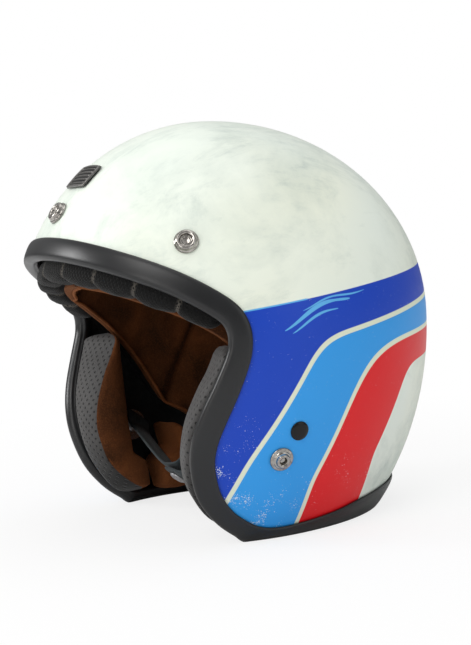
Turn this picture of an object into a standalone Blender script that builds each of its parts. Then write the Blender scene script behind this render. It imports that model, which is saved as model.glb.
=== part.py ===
"""Open face motorcycle helmet, standing upright on its edge trim.

Row frame: metres, +Z up, the face opening looks along -Y, +X is the wearer's left.
The origin is on the resting plane, under the middle of the helmet's length and width.
All driving dimensions below are millimetres and degrees.
"""

import bpy
import bmesh
from math import cos, hypot, pi, radians, sin, sqrt
from mathutils import Matrix, Vector

MM = 0.001

# Outer shell: four quarter ellipsoids that share one centre and meet smoothly.
DOME_CENTRE = Vector((0.0, -16.0, 127.85))
HALF_WIDTH = 120.8
REACH_FRONT = 128.5
REACH_BACK = 152.6
RISE_TOP = 133.6
DROP_BOTTOM = 179.7
SHELL_WALL = 3.5

# Openings are drawn round an axis that leans back, so that the brow lies square to it.
AXIS_LEAN = 30.0

# Where the trim's painted side ends, from the middle of the brow to the nape on one side:
# (turn round the leaning axis, angle down from it, how far the trim laps the shell in mm).
# Along the bottom the lap ends earlier, where the shell's edge comes down to EDGE_LOW.
TRIM_LINE = (
    (0, 90.2, 11), (25, 90.1, 11), (48, 90.0, 11), (61, 91.0, 11), (68, 92.6, 11),
    (72.5, 95.8, 11), (75.3, 100, 11), (77, 105, 11.5), (78.3, 114, 12.5),
    (79.2, 123, 13), (80.6, 129.5, 12.5), (84, 134.5, 12), (91, 139, 12),
    (99, 141, 11), (106, 141, 11), (113, 140, 11), (119, 137.3, 11),
    (126, 132, 12), (134, 125, 14), (142, 117.3, 17), (154, 109, 21),
    (167, 104, 23), (180, 102, 23),
)
EDGE_LOW = 2.8
FOOT_REACH = 1.6
TRIM_WALL = 2.6
TRIM_NOSE = 3.4
TRIM_INNER_LIP = 7.0
TRIM_INNER_GAP = 1.5

# Lower borders of the impact liner and of the comfort liner, drawn the same way.
EPS_LINE = (
    (0, 91.5), (30, 91.5), (55, 91.3), (68, 92), (78, 96), (88, 102), (100, 109), (111, 112),
    (125, 110.5), (150, 100), (180, 91),
)
CROWN_LINE = (
    (0, 101), (30, 101), (55, 101), (74, 103), (88, 107), (100, 112.6), (107, 115.3),
    (115, 115.2), (123, 114), (150, 103), (180, 94),
)
EPS_OUTER = 5.0
EPS_INNER = 26.0
CROWN_OUTER = 27.4
CROWN_INNER = 34.0

BROW_PAD_TURN = 66.0
BROW_PAD_OUTER = 8.6
BROW_PAD_INNER = 25.6
BROW_PAD_TOP = 94.0
BROW_PAD_FRONT = 101.5

# Cheek pads, left one (+X): (x, y from the dome centre, z) down the piped front edge of the
# inner face, and (y from the dome centre, z) down the edge that follows the trim's inner lip.
CHEEK_INNER_FRONT = (
    (70, -36, 122), (69, -43, 107), (67, -50, 95), (64, -58, 77), (62, -61, 61),
    (59, -60, 49), (57, -56, 36), (56, -48, 26), (56, -38, 18), (57, -30, 14),
)
CHEEK_OUTER_FRONT = (
    (-45, 121), (-49, 110), (-54, 99), (-60, 84), (-63, 70), (-63, 55), (-61, 42),
    (-56, 29), (-48, 17), (-38, 9),
)
SLOT_TOP = 40.0
SLOT_BOTTOM = 30.0
CHEEK_REAR_HIGH = -35.0
CHEEK_REAR_LOW = -24.0
CHEEK_OUTER_DEPTH = 8.6
LOBE_FRONT_HIGH = -2.0
LOBE_FRONT_LOW = -17.0
LOBE_REAR = 20.0
LOBE_TOP = 57.0
LOBE_BOTTOM = 9.0
LOBE_INNER_X = 64.0

NAPE_TURN = 66.0
NAPE_OUTER = 8.6
NAPE_INNER = 32.0
NAPE_TOP = 42.0
NAPE_BOTTOM = 6.0

# Fasteners, by (x, y, z) of their centres from the dome centre.
SNAP_AT = {"left": (91.2, -63.3, 57.7), "centre": (0.0, -103.7, 79.0), "right": (-91.2, -63.3, 57.7)}
PLUG_AT = (113.9, -7.5, -59.0)
BADGE_AT = (0.0, -84.6, 100.5)
BADGE_SIZE = (27.0, 19.0, 2.6)
SNAP_SHANK = 2.0
RIVET_SHANK = 3.0
PLUG_SHANK = 4.0
HOLE_GAP = 0.4

# Chin strap: it turns about the line through both rivets, and its loop leans forward.
STRAP_AXIS_Y = -17.9
STRAP_AXIS_Z = -75.3
STRAP_LEAN = 38.5
STRAP_WIDTH = 20.0
STRAP_THICK = 2.4
TAB_X = (97.4, 98.9)
TAB_RADIUS = 11.0
STRAP_END_X = 97.0
RING_BAR_X = 44.0
RING_DEPTH = 24.0
RING_HALF_WIDTH = 13.5
RING_WIRE = 1.5
RING_SPACING = 1.9
LAYER_GAP = 2.9

for old in list(bpy.data.objects):
    bpy.data.objects.remove(old, do_unlink=True)


def material(name, colour, roughness, metallic=0.0):
    made = bpy.data.materials.new(name)
    made.use_nodes = True
    shader = made.node_tree.nodes["Principled BSDF"]
    shader.inputs["Base Color"].default_value = (*colour, 1.0)
    shader.inputs["Roughness"].default_value = roughness
    shader.inputs["Metallic"].default_value = metallic
    return made


PAINT = material("pale_paint", (0.86, 0.90, 0.82), 0.35)
RUBBER = material("black_rubber", (0.03, 0.03, 0.035), 0.55)
FOAM = material("black_foam", (0.015, 0.015, 0.015), 0.9)
SUEDE = material("brown_suede", (0.20, 0.085, 0.04), 0.95)
QUILT = material("black_quilt", (0.02, 0.02, 0.02), 0.8)
LEATHERETTE = material("grey_leatherette", (0.12, 0.12, 0.12), 0.7)
CHROME = material("chrome", (0.75, 0.75, 0.75), 0.12, 1.0)
STEEL = material("steel", (0.45, 0.45, 0.46), 0.3, 1.0)
BADGE_METAL = material("badge_metal", (0.25, 0.25, 0.25), 0.4, 1.0)
PLASTIC = material("black_plastic", (0.02, 0.02, 0.02), 0.4)
WEBBING = material("slate_webbing", (0.06, 0.08, 0.09), 0.85)


def pivot(name, at, parent=None):
    """Empty on a joint's axis; what turns there is parented to it."""
    point = bpy.data.objects.new(name, None)
    bpy.context.scene.collection.objects.link(point)
    point.empty_display_size = 0.01
    point.location = at * MM
    if parent:
        point.parent = parent
        point.matrix_parent_inverse = Matrix.Translation(-parent.location)
    return point


def hang_on(point, *pieces):
    """Parents pieces to a pivot and keeps them where they are."""
    for piece in pieces:
        piece.parent = point
        piece.matrix_parent_inverse = Matrix.Translation(-point.location)


def add_object(name, bm, look):
    """Turns a millimetre bmesh about the row origin into a named object in metres."""
    bmesh.ops.recalc_face_normals(bm, faces=bm.faces)
    bmesh.ops.scale(bm, vec=Vector((MM, MM, MM)), verts=bm.verts)
    mesh = bpy.data.meshes.new(name)
    bm.to_mesh(mesh)
    bm.free()
    mesh.materials.append(look)
    mesh.shade_smooth()
    mesh.set_sharp_from_angle(angle=radians(35))
    obj = bpy.data.objects.new(name, mesh)
    bpy.context.scene.collection.objects.link(obj)
    return obj


# ---- shape of the dome ----

POLE = Vector((0, sin(radians(AXIS_LEAN)), cos(radians(AXIS_LEAN))))
FORWARD = Vector((0, -cos(radians(AXIS_LEAN)), sin(radians(AXIS_LEAN))))
SIDE = Vector((1, 0, 0))


def polar(turn, down):
    """Direction from the dome centre, by degrees round and down from the leaning axis."""
    a, b = radians(turn), radians(down)
    return POLE * cos(b) + (FORWARD * cos(a) + SIDE * sin(a)) * sin(b)


def half_axes(d):
    return (
        HALF_WIDTH,
        REACH_FRONT if d.y < 0 else REACH_BACK,
        RISE_TOP if d.z > 0 else DROP_BOTTOM,
    )


def normal_at(p):
    """Outward normal of the shell at a point given from the dome centre."""
    return Vector(c / s**2 for c, s in zip(p, half_axes(p))).normalized()


def skin(d):
    """Point of the shell's outer face in direction d, from the dome centre."""
    return d / sqrt(sum((c / s) ** 2 for c, s in zip(d, half_axes(d))))


def dome(d, depth=0.0):
    """Point that lies depth under the shell's outer face, in the row frame."""
    p = skin(d)
    return p - normal_at(p) * depth + DOME_CENTRE


def catmull(points, per_span):
    """Smooth open curve through a list of number tuples; both ends are included."""
    first = [2 * a - b for a, b in zip(points[0], points[1])]
    last = [2 * a - b for a, b in zip(points[-1], points[-2])]
    held = [first, *points, last]
    curve = []
    for i in range(1, len(held) - 2):
        before, a, b, after = held[i - 1 : i + 3]
        for k in range(per_span):
            t = k / per_span
            curve.append(
                tuple(
                    0.5 * (2 * q + (r - p) * t + (2 * p - 5 * q + 4 * r - s) * t**2
                           + (3 * q - p - 3 * r + s) * t**3)
                    for p, q, r, s in zip(before, a, b, after)
                )
            )
    curve.append(tuple(points[-1]))
    return curve


def closed_line(half_line, count):
    """Even samples of a mirrored closed line on the dome: (direction, other columns)."""
    head = [(-half_line[1][0], *half_line[1][1:])]
    tail = [(360 - half_line[-2][0], *half_line[-2][1:])]
    half = catmull([*head, *half_line, *tail], 8)[8:-8]
    spots = [(polar(turn, down), rest) for turn, down, *rest in half]
    run = [0.0]
    for (a, _), (b, _) in zip(spots, spots[1:]):
        run.append(run[-1] + (skin(b) - skin(a)).length)
    sampled = []
    steps = count // 2
    k = 0
    for i in range(steps + 1):
        want = run[-1] * i / steps
        while k < len(run) - 2 and run[k + 1] < want:
            k += 1
        f = (want - run[k]) / (run[k + 1] - run[k])
        (d0, r0), (d1, r1) = spots[k], spots[k + 1]
        sampled.append((d0.lerp(d1, f).normalized(), [a + (b - a) * f for a, b in zip(r0, r1)]))
    mirrored = [(Vector((-d.x, d.y, d.z)), rest) for d, rest in sampled[-2:0:-1]]
    return sampled + mirrored


def cap(directions, outer, inner, rows, name, look):
    """Closed bowl between two depths, from the leaning axis down to a closed border."""
    bm = bmesh.new()
    sheets = []
    for depth in (outer, inner):
        top = bm.verts.new(dome(POLE, depth))
        rings = []
        for j in range(1, rows + 1):
            rings.append([bm.verts.new(dome(POLE.slerp(d, j / rows), depth)) for d in directions])
        for a, b in zip(rings[0], rings[0][1:] + rings[0][:1]):
            bm.faces.new((top, a, b))
        for upper, lower in zip(rings, rings[1:]):
            for i in range(len(upper)):
                k = (i + 1) % len(upper)
                bm.faces.new((upper[i], lower[i], lower[k], upper[k]))
        sheets.append(rings[-1])
    for i in range(len(directions)):
        k = (i + 1) % len(directions)
        bm.faces.new((sheets[0][i], sheets[1][i], sheets[1][k], sheets[0][k]))
    return add_object(name, bm, look)


def sweep(sections, name, look, closed=False):
    """Solid through a list of cross-sections with equal point counts, capped if it's open."""
    bm = bmesh.new()
    rings = [[bm.verts.new(p) for p in section] for section in sections]
    pairs = list(zip(rings, rings[1:] + rings[:1])) if closed else list(zip(rings, rings[1:]))
    for a, b in pairs:
        for i in range(len(a)):
            k = (i + 1) % len(a)
            bm.faces.new((a[i], b[i], b[k], a[k]))
    if not closed:
        bm.faces.new(rings[0])
        bm.faces.new(rings[-1])
        bmesh.ops.triangulate(bm, faces=[f for f in bm.faces if len(f.verts) > 4])
    return add_object(name, bm, look)


def turned(profile, place, name, look, segments=28):
    """Solid of revolution about the local Z of place; profile runs (radius, height)."""
    bm = bmesh.new()
    rings = []
    for radius, height in profile:
        if radius == 0:
            rings.append([bm.verts.new(place @ Vector((0, 0, height)))])
            continue
        rings.append([
            bm.verts.new(place @ Vector((radius * cos(a), radius * sin(a), height)))
            for a in (2 * pi * i / segments for i in range(segments))
        ])
    loops = list(zip(rings, rings[1:]))
    if profile[0][0] and profile[-1][0]:
        loops.append((rings[-1], rings[0]))
    for a, b in loops:
        for i in range(segments):
            k = (i + 1) % segments
            corners = [a[i % len(a)], b[i % len(b)], b[k % len(b)], a[k % len(a)]]
            bm.faces.new(list(dict.fromkeys(corners)))
    return add_object(name, bm, look)


def on_shell(at):
    """Placement on the shell's outer face: local Z is the outward normal."""
    p = skin(Vector(at))
    z = normal_at(p)
    x = Vector((0, 0, 1)).cross(z).normalized()
    turn = Matrix((x, z.cross(x), z)).transposed().to_4x4()
    return Matrix.Translation(p + DOME_CENTRE) @ turn


def across(at):
    """Placement at a point of the shell with local Z along X, away from the middle."""
    p = skin(Vector(at))
    side = 1 if p.x > 0 else -1
    return Matrix.Translation(p + DOME_CENTRE) @ Matrix.Rotation(side * pi / 2, 4, "Y")


def combine(obj, other, operation):
    """Boolean that stays on obj; the other mesh is a hidden helper."""
    other.hide_render = True
    other.display_type = "WIRE"
    made = obj.modifiers.new(operation.lower() + "_" + other.name, "BOOLEAN")
    made.operation = operation
    made.object = other


def drill(obj, radius, place, name, top=12.0, bottom=-14.0):
    rod = [(0, bottom), (radius, bottom), (radius, top), (0, top)]
    combine(obj, turned(rod, place, name, FOAM, 20), "DIFFERENCE")


# ---- shell, trim and impact liner ----

def shell_edge(count):
    """Even samples of the shell's own edge: (direction of the edge, towards the opening)."""
    line = closed_line(TRIM_LINE, count)
    edge = []
    for i, (d, (lap,)) in enumerate(line):
        here = skin(d)
        along = skin(line[(i + 1) % count][0]) - skin(line[i - 1][0])
        out = along.cross(normal_at(here)).normalized()
        if out.dot(POLE) > 0.6:
            out = -out
        if out.z < -0.5:
            lap = min(lap, (here.z + DOME_CENTRE.z - EDGE_LOW) / -out.z)
        edge.append(((here + out * lap), out, lap))
    return edge


EDGE_SIDES = 84
EDGE = shell_edge(EDGE_SIDES)

outer_shell = cap([p.normalized() for p, _, _ in EDGE], 0.0, SHELL_WALL, 9, "outer_shell", PAINT)
eps_liner = cap([d for d, _ in closed_line(EPS_LINE, 48)], EPS_OUTER, EPS_INNER, 7, "eps_liner", FOAM)
crown_liner = cap(
    [d for d, _ in closed_line(CROWN_LINE, 56)], CROWN_OUTER, CROWN_INNER, 7, "crown_liner", SUEDE
)


def trim_section(edge, out, lap):
    """Channel that grips the shell's edge: distances past the edge, heights over the shell."""
    under = -SHELL_WALL - TRIM_INNER_GAP
    shape = (
        (-lap, 0.4), (0.7, 0.5), (0.7, under), (-TRIM_INNER_LIP, under),
        (-TRIM_INNER_LIP + 0.5, under - TRIM_WALL + 0.9), (-2.0, under - TRIM_WALL),
        (1.6, under - TRIM_WALL + 0.6), (TRIM_NOSE - 0.4, under - 0.3), (TRIM_NOSE, 0.0),
        (2.0, TRIM_WALL - 0.4), (-lap * 0.45, TRIM_WALL), (-lap + 0.8, TRIM_WALL - 0.7),
    )
    points = [dome((edge + out * past).normalized(), -over) for past, over in shape]
    if min(p.z for p in points) < FOOT_REACH:
        points[7].z = points[8].z = 0.0
    return points


edge_trim = sweep([trim_section(*e) for e in EDGE], "edge_trim", RUBBER, closed=True)

# ---- pads ----


def arc_pad(name, look, half_turn, steps, section):
    """Pad swept round the leaning axis or the vertical, through section(turn)."""
    turns = [half_turn * (2 * i / steps - 1) for i in range(steps + 1)]
    return sweep([section(t) for t in turns], name, look)


def brow_section(turn):
    middle = (BROW_PAD_OUTER + BROW_PAD_INNER) / 2
    return [
        dome(polar(turn, BROW_PAD_TOP), BROW_PAD_OUTER),
        dome(polar(turn, BROW_PAD_FRONT - 2.5), BROW_PAD_OUTER),
        dome(polar(turn, BROW_PAD_FRONT), BROW_PAD_OUTER + 3),
        dome(polar(turn, BROW_PAD_FRONT + 0.8), middle),
        dome(polar(turn, BROW_PAD_FRONT), BROW_PAD_INNER - 2),
        dome(polar(turn, BROW_PAD_FRONT - 2.0), BROW_PAD_INNER),
        dome(polar(turn, BROW_PAD_TOP - 0.6), BROW_PAD_INNER),
    ]


brow_pad = arc_pad("brow_pad", QUILT, BROW_PAD_TURN, 30, brow_section)


def wall_point(y, z, depth, side):
    """Point under the shell at y and z from the dome centre, on one side of the helmet."""
    back = REACH_FRONT if y < 0 else REACH_BACK
    up = RISE_TOP if z > 0 else DROP_BOTTOM
    x = (HALF_WIDTH - depth) * sqrt(1 - (y / (back - depth)) ** 2 - (z / (up - depth)) ** 2)
    return Vector((side * x, y, z)) + DOME_CENTRE


def block(outer, inner, name, look):
    """Closed solid between two equal grids of points."""
    bm = bmesh.new()
    sheets = [[[bm.verts.new(p) for p in row] for row in grid] for grid in (outer, inner)]
    rows, columns = len(outer), len(outer[0])
    for sheet in sheets:
        for i in range(rows - 1):
            for j in range(columns - 1):
                a, b = sheet[i], sheet[i + 1]
                bm.faces.new((a[j], b[j], b[j + 1], a[j + 1]))
    border = [(i, 0) for i in range(rows)]
    border += [(rows - 1, j) for j in range(1, columns)]
    border += [(i, columns - 1) for i in range(rows - 2, -1, -1)]
    border += [(0, j) for j in range(columns - 2, 0, -1)]
    for (i, j), (k, m) in zip(border, border[1:] + border[:1]):
        bm.faces.new((sheets[0][i][j], sheets[0][k][m], sheets[1][k][m], sheets[1][i][j]))
    return add_object(name, bm, look)


def slot_side(z, low, high):
    """Blends a pad's border from its low value to its value beside the strap's slot."""
    f = min(max((z - SLOT_BOTTOM) / (SLOT_TOP - SLOT_BOTTOM), 0.0), 1.0)
    return low + (high - low) * f


def cheek_pad(side, name):
    """Pad between the shell and the cheek: its front follows the trim, its rear is upright."""
    inner_front = catmull(CHEEK_INNER_FRONT, 2)
    outer_front = catmull(CHEEK_OUTER_FRONT, 2)
    across_steps = 5
    outer, inner = [], []
    for (x, y, z), (oy, oz) in zip(inner_front, outer_front):
        down_in, down_out = z - DOME_CENTRE.z, oz - DOME_CENTRE.z
        inner_row, outer_row = [], []
        inner_rear = max(slot_side(z, CHEEK_REAR_LOW, CHEEK_REAR_HIGH), y + 1.0)
        outer_rear = slot_side(oz, CHEEK_REAR_LOW, CHEEK_REAR_HIGH)
        for j in range(across_steps + 1):
            f = j / across_steps
            iy = y + (inner_rear - y) * f
            ey = oy + (outer_rear - oy) * f
            inner_row.append(Vector((side * (x + 3 * f), iy, down_in)) + DOME_CENTRE)
            outer_row.append(wall_point(ey, down_out, CHEEK_OUTER_DEPTH, side))
        inner.append(inner_row)
        outer.append(outer_row)
    return block(outer, inner, name, LEATHERETTE)


def lobe_pad(side, name):
    """Rounded pad behind the ear, between the strap's slot and the nape roll."""
    steps = 6
    outer, inner = [], []
    for i in range(steps + 1):
        up = i / steps
        narrow = 1 - 0.62 * up**3
        outer_row, inner_row = [], []
        for j in range(5):
            f = j / 4
            z = LOBE_BOTTOM + (LOBE_TOP - LOBE_BOTTOM) * up * (1 - 0.10 * (2 * f - 0.6) ** 2)
            front = slot_side(z, LOBE_FRONT_LOW, LOBE_FRONT_HIGH)
            y = front + (LOBE_REAR - front) * (f * narrow)
            outer_row.append(wall_point(y, z - DOME_CENTRE.z - 3, CHEEK_OUTER_DEPTH + 0.4, side))
            bulge = 4 * (1 - (2 * up - 1) ** 2)
            inner_row.append(
                Vector((side * (LOBE_INNER_X - bulge), y, z - DOME_CENTRE.z)) + DOME_CENTRE
            )
        outer.append(outer_row)
        inner.append(inner_row)
    return block(outer, inner, name, SUEDE)


def nape_section(turn):
    """Upright section of the nape roll at a turn from straight back."""
    a = radians(turn)
    points = []
    for z, depth in (
        (NAPE_BOTTOM, NAPE_OUTER), (NAPE_TOP, NAPE_OUTER), (NAPE_TOP + 2, NAPE_INNER - 12),
        (NAPE_TOP - 5, NAPE_INNER - 2), (NAPE_TOP - 16, NAPE_INNER),
        (NAPE_BOTTOM + 8, NAPE_INNER - 3), (NAPE_BOTTOM + 3, NAPE_INNER - 9),
    ):
        down = z - DOME_CENTRE.z
        rest = sqrt(1 - (down / (DROP_BOTTOM - depth)) ** 2)
        x = (HALF_WIDTH - depth) * rest * sin(a)
        y = (REACH_BACK - depth) * rest * cos(a)
        points.append(Vector((x, y, down)) + DOME_CENTRE)
    return points


for side, word in ((1, "left"), (-1, "right")):
    cheek_pad(side, "cheek_pad_" + word)
    lobe_pad(side, "lobe_pad_" + word)
neck_roll = arc_pad("neck_roll", SUEDE, NAPE_TURN, 22, nape_section)

# ---- brow snaps, badge, plugs and strap rivets ----

SNAP_PROFILE = (
    (0, 1.6), (2.2, 1.6), (2.6, 2.2), (3.4, 2.2), (3.8, 3.9), (5.2, 4.3), (6.2, 3.6), (6.4, 2.2),
    (7.4, 1.7), (7.5, 0.5), (SNAP_SHANK, 0.5), (SNAP_SHANK, -6.2), (3.2, -6.3), (2.6, -7.2), (0, -7.3),
)
WASHER_PROFILE = ((2.5, -4.7), (6.8, -4.7), (7.0, -5.2), (6.6, -5.8), (2.5, -5.8))

for word, at in SNAP_AT.items():
    place = on_shell(at)
    drill(outer_shell, SNAP_SHANK + HOLE_GAP, place, "drill_snap_" + word)
    drill(eps_liner, 7.6, place, "pocket_snap_" + word, top=2.0, bottom=-9.0)
    turned(SNAP_PROFILE, place, "brow_snap_" + word, CHROME, 24)
    turned(WASHER_PROFILE, place, "snap_washer_" + word, STEEL, 20)

PLUG_PROFILE = (
    (0, 1.5), (4.4, 1.4), (5.6, 1.0), (6.0, 0.5), (PLUG_SHANK, 0.4), (PLUG_SHANK, -4.6), (0, -4.6),
)
RIVET_PROFILE = (
    (0, 0.6), (2.0, 0.6), (2.0, 3.6), (3.2, 4.4), (4.2, 4.0), (4.4, 2.6), (5.4, 2.2), (5.6, 1.5),
    (7.2, 1.2), (7.5, 0.4), (0, 0.3),
)

for side, word in ((1, "left"), (-1, "right")):
    plug_place = on_shell((side * PLUG_AT[0], *PLUG_AT[1:]))
    drill(outer_shell, PLUG_SHANK + HOLE_GAP, plug_place, "drill_plug_" + word)
    turned(PLUG_PROFILE, plug_place, "side_plug_" + word, PLASTIC, 24)

    face = wall_point(STRAP_AXIS_Y, STRAP_AXIS_Z, 0.0, side) - DOME_CENTRE
    inward = across(face)
    drill(outer_shell, RIVET_SHANK + HOLE_GAP, inward, "drill_rivet_" + word, top=8.0, bottom=-10.0)
    rivet = turned(RIVET_PROFILE, on_shell(face), "strap_rivet_" + word, CHROME, 24)
    reach = abs(face.x)
    shank = (
        (0, 1.0), (RIVET_SHANK, 1.0), (RIVET_SHANK, 97.0 - reach), (5.2, 96.8 - reach),
        (4.6, 95.0 - reach), (0, 94.8 - reach),
    )
    combine(rivet, turned(shank, inward, "shank_" + word, CHROME, 24), "UNION")


def badge():
    """Pillow-shaped plate with raised bars, on the middle of the forehead."""
    place = on_shell(BADGE_AT)
    width, height, thick = BADGE_SIZE
    bm = bmesh.new()
    columns, rows = 12, 14
    bars = 5

    def at(i, j, top):
        u, v = 2 * i / columns - 1, 2 * j / rows - 1
        x = u * width / 2 * (1 - 0.10 * v * v)
        y = v * height / 2 * (1 - 0.14 * u * u)
        spot = place @ Vector((x, y, 0)) - DOME_CENTRE
        lift = 0.5
        if top:
            edge = abs(u) > 0.9 or abs(v) > 0.9
            groove = 0.7 if abs(u) < 0.72 and abs(v) < 0.8 and int((v + 1) * bars) % 2 else 0.0
            lift = thick - 1.0 if edge else thick - groove
        return dome(spot.normalized(), -lift)

    sheets = [
        [[bm.verts.new(at(i, j, top)) for i in range(columns + 1)] for j in range(rows + 1)]
        for top in (True, False)
    ]
    for sheet in sheets:
        for j in range(rows):
            for i in range(columns):
                bm.faces.new((sheet[j][i], sheet[j][i + 1], sheet[j + 1][i + 1], sheet[j + 1][i]))
    rim = [(0, i) for i in range(columns)] + [(j, columns) for j in range(rows)]
    rim += [(rows, i) for i in range(columns, 0, -1)] + [(j, 0) for j in range(rows, 0, -1)]
    for (a, b), (c, d) in zip(rim, rim[1:] + rim[:1]):
        bm.faces.new((sheets[0][a][b], sheets[0][c][d], sheets[1][c][d], sheets[1][a][b]))
    return add_object("front_badge", bm, BADGE_METAL)


badge()

# ---- chin strap ----

LEAN = radians(STRAP_LEAN)
DROP = Vector((0, -sin(LEAN), -cos(LEAN)))
BROAD = Vector((0, -cos(LEAN), sin(LEAN)))
STRAP_AXIS = Vector((0, STRAP_AXIS_Y, STRAP_AXIS_Z)) + DOME_CENTRE


def hang(x):
    """How far the fastened loop hangs from its axis at x, with a soft bend in the middle."""
    return 27.5 - hypot(0.31 * x, 3.2)


def strap_spot(x, drop, broad=0.0):
    return STRAP_AXIS + SIDE * x + DROP * drop + BROAD * broad


def beside(x, over):
    """(x, drop) of a spot that lies over the loop's middle line, on its upper side."""
    slope = (hang(x + 0.5) - hang(x - 0.5))
    long = hypot(1, slope)
    return x + over * slope / long, hang(x) - over / long


def webbing(route, name):
    """Flat strap along a route of (x, drop) points."""
    sections = []
    for i, (x, drop) in enumerate(route):
        a, b = route[max(i - 1, 0)], route[min(i + 1, len(route) - 1)]
        long = hypot(b[0] - a[0], b[1] - a[1])
        across_x, across_drop = -(b[1] - a[1]) / long, (b[0] - a[0]) / long
        if i in (0, len(route) - 1) and abs(x) > STRAP_END_X - 1:
            across_x, across_drop = 0.0, 1.0 if b[0] > a[0] else -1.0
        corner = []
        for broad, over in ((-1, -1), (-0.94, -1), (0.94, -1), (1, -1), (1, 1), (0.94, 1), (-0.94, 1), (-1, 1)):
            thick = STRAP_THICK / 2 * over * (1 if abs(broad) < 1 else 0.6)
            corner.append(
                strap_spot(x + across_x * thick, drop + across_drop * thick, broad * STRAP_WIDTH / 2)
            )
        sections.append(corner)
    return sweep(sections, name, WEBBING)


def anchor_run(sign):
    """Points from the anchor tab over the rivet's head to the free part of the loop."""
    return [(sign * x, drop) for x, drop in ((STRAP_END_X, -8.2), (92.5, -5.0), (88, -1.2), (82, 1.7))]


def half_turn(centre_x, radius, steps):
    """Offsets of a turn back round centre_x: upper side first."""
    return [
        (centre_x + radius * sin(pi * i / steps), radius * cos(pi * i / steps)) for i in range(steps + 1)
    ]


fold = 6.8
long_route = anchor_run(-1)
long_route += [(x, hang(x)) for x in range(-74, 2, 9)]
long_route += [beside(x, over) for x, over in ((5, 1.6), (11, 4.6), (17, 6.5), (22, fold))]
long_route += [beside(x, over) for x, over in half_turn(29.5, fold, 8)]
long_route += [beside(x, over) for x, over in ((22, -fold), (17, -6.2), (11, -4.2), (6, -LAYER_GAP), (0, -LAYER_GAP))]
strap_long = webbing(long_route, "strap_long")

eye = 5.1
short_route = anchor_run(1)
short_route += [(x, hang(x)) for x in (75, 68, 61)]
short_route += [beside(x, over) for x, over in ((56, 1.8), (51, 4.4))]
short_route += [beside(2 * RING_BAR_X - x, over) for x, over in half_turn(RING_BAR_X, eye, 8)]
short_route += [beside(x, over) for x, over in ((51, -4.9), (57, -3.4), (63, -LAYER_GAP), (70, -LAYER_GAP))]
strap_short = webbing(short_route, "strap_short")


def d_ring(over, name):
    """Round-wire ring: a straight bar in the short strap's eye and a deep bow."""
    middle = [(RING_BAR_X, RING_HALF_WIDTH * f) for f in (-1, -0.6, -0.2, 0.2, 0.6, 1)]
    middle += [
        (RING_BAR_X - RING_DEPTH * sin(a), RING_HALF_WIDTH * cos(a))
        for a in (pi * i / 14 for i in range(1, 14))
    ]
    flat_x, flat_drop = beside(RING_BAR_X, over)
    slope = hang(RING_BAR_X + 0.5) - hang(RING_BAR_X - 0.5)
    along = (SIDE + DROP * slope).normalized()
    up = BROAD.cross(along).normalized()
    start = strap_spot(flat_x, flat_drop)
    centres = [start + along * (x - RING_BAR_X) + BROAD * b for x, b in middle]
    sections = []
    for i, c in enumerate(centres):
        ahead = (centres[(i + 1) % len(centres)] - centres[i - 1]).normalized()
        outward = ahead.cross(up).normalized()
        sections.append([
            c + (outward * cos(a) + up * sin(a)) * RING_WIRE for a in (2 * pi * k / 8 for k in range(8))
        ])
    return sweep(sections, name, STEEL, closed=True)


rings = [d_ring(RING_SPACING, "d_ring_inner"), d_ring(-RING_SPACING, "d_ring_outer")]
tabs = []

for side, word in ((1, "left"), (-1, "right")):
    place = Matrix.Translation(STRAP_AXIS) @ Matrix.Rotation(side * pi / 2, 4, "Y")
    hole = RIVET_SHANK + HOLE_GAP
    plate = ((hole, TAB_X[0]), (TAB_RADIUS, TAB_X[0]), (TAB_RADIUS, TAB_X[1]), (hole, TAB_X[1]))
    tabs.append(turned(plate, place, "anchor_tab_" + word, STEEL, 28))

SNAP_X = 5.0
STRAP_SNAP_PROFILE = ((0, 2.2), (3.6, 2.0), (5.4, 1.2), (6.0, 0.3), (0, 0.3))
snap_x, snap_drop = beside(SNAP_X, -LAYER_GAP - STRAP_THICK / 2)
snap_turn = Matrix((SIDE, DROP.cross(SIDE), DROP)).transposed().to_4x4()
snap_place = Matrix.Translation(strap_spot(snap_x, snap_drop + 0.2)) @ snap_turn
strap_snap = turned(STRAP_SNAP_PROFILE, snap_place, "strap_snap", STEEL, 20)

strap_pivot = pivot("strap_pivot", STRAP_AXIS)
ring_pivot = pivot("ring_pivot", strap_spot(RING_BAR_X, hang(RING_BAR_X)), strap_pivot)
hang_on(strap_pivot, strap_long, strap_short, strap_snap, *tabs)
hang_on(ring_pivot, *rings)
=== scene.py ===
from math import cos, hypot, pi, radians, sin, sqrt

import bpy
from mathutils import Matrix, Vector, noise


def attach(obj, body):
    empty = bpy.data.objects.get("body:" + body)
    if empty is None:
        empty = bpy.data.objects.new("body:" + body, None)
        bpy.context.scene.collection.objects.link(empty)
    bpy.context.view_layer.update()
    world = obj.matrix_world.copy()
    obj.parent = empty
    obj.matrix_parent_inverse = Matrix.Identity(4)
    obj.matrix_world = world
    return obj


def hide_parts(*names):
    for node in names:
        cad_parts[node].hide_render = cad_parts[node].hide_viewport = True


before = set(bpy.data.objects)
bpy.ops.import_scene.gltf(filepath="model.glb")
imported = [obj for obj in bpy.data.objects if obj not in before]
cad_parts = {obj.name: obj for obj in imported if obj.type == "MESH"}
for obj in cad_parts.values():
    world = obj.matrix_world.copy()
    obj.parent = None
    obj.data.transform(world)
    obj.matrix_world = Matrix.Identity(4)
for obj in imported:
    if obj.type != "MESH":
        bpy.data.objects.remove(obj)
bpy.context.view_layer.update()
mm = 0.001               # shapes are worked out in millimetres

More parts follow.
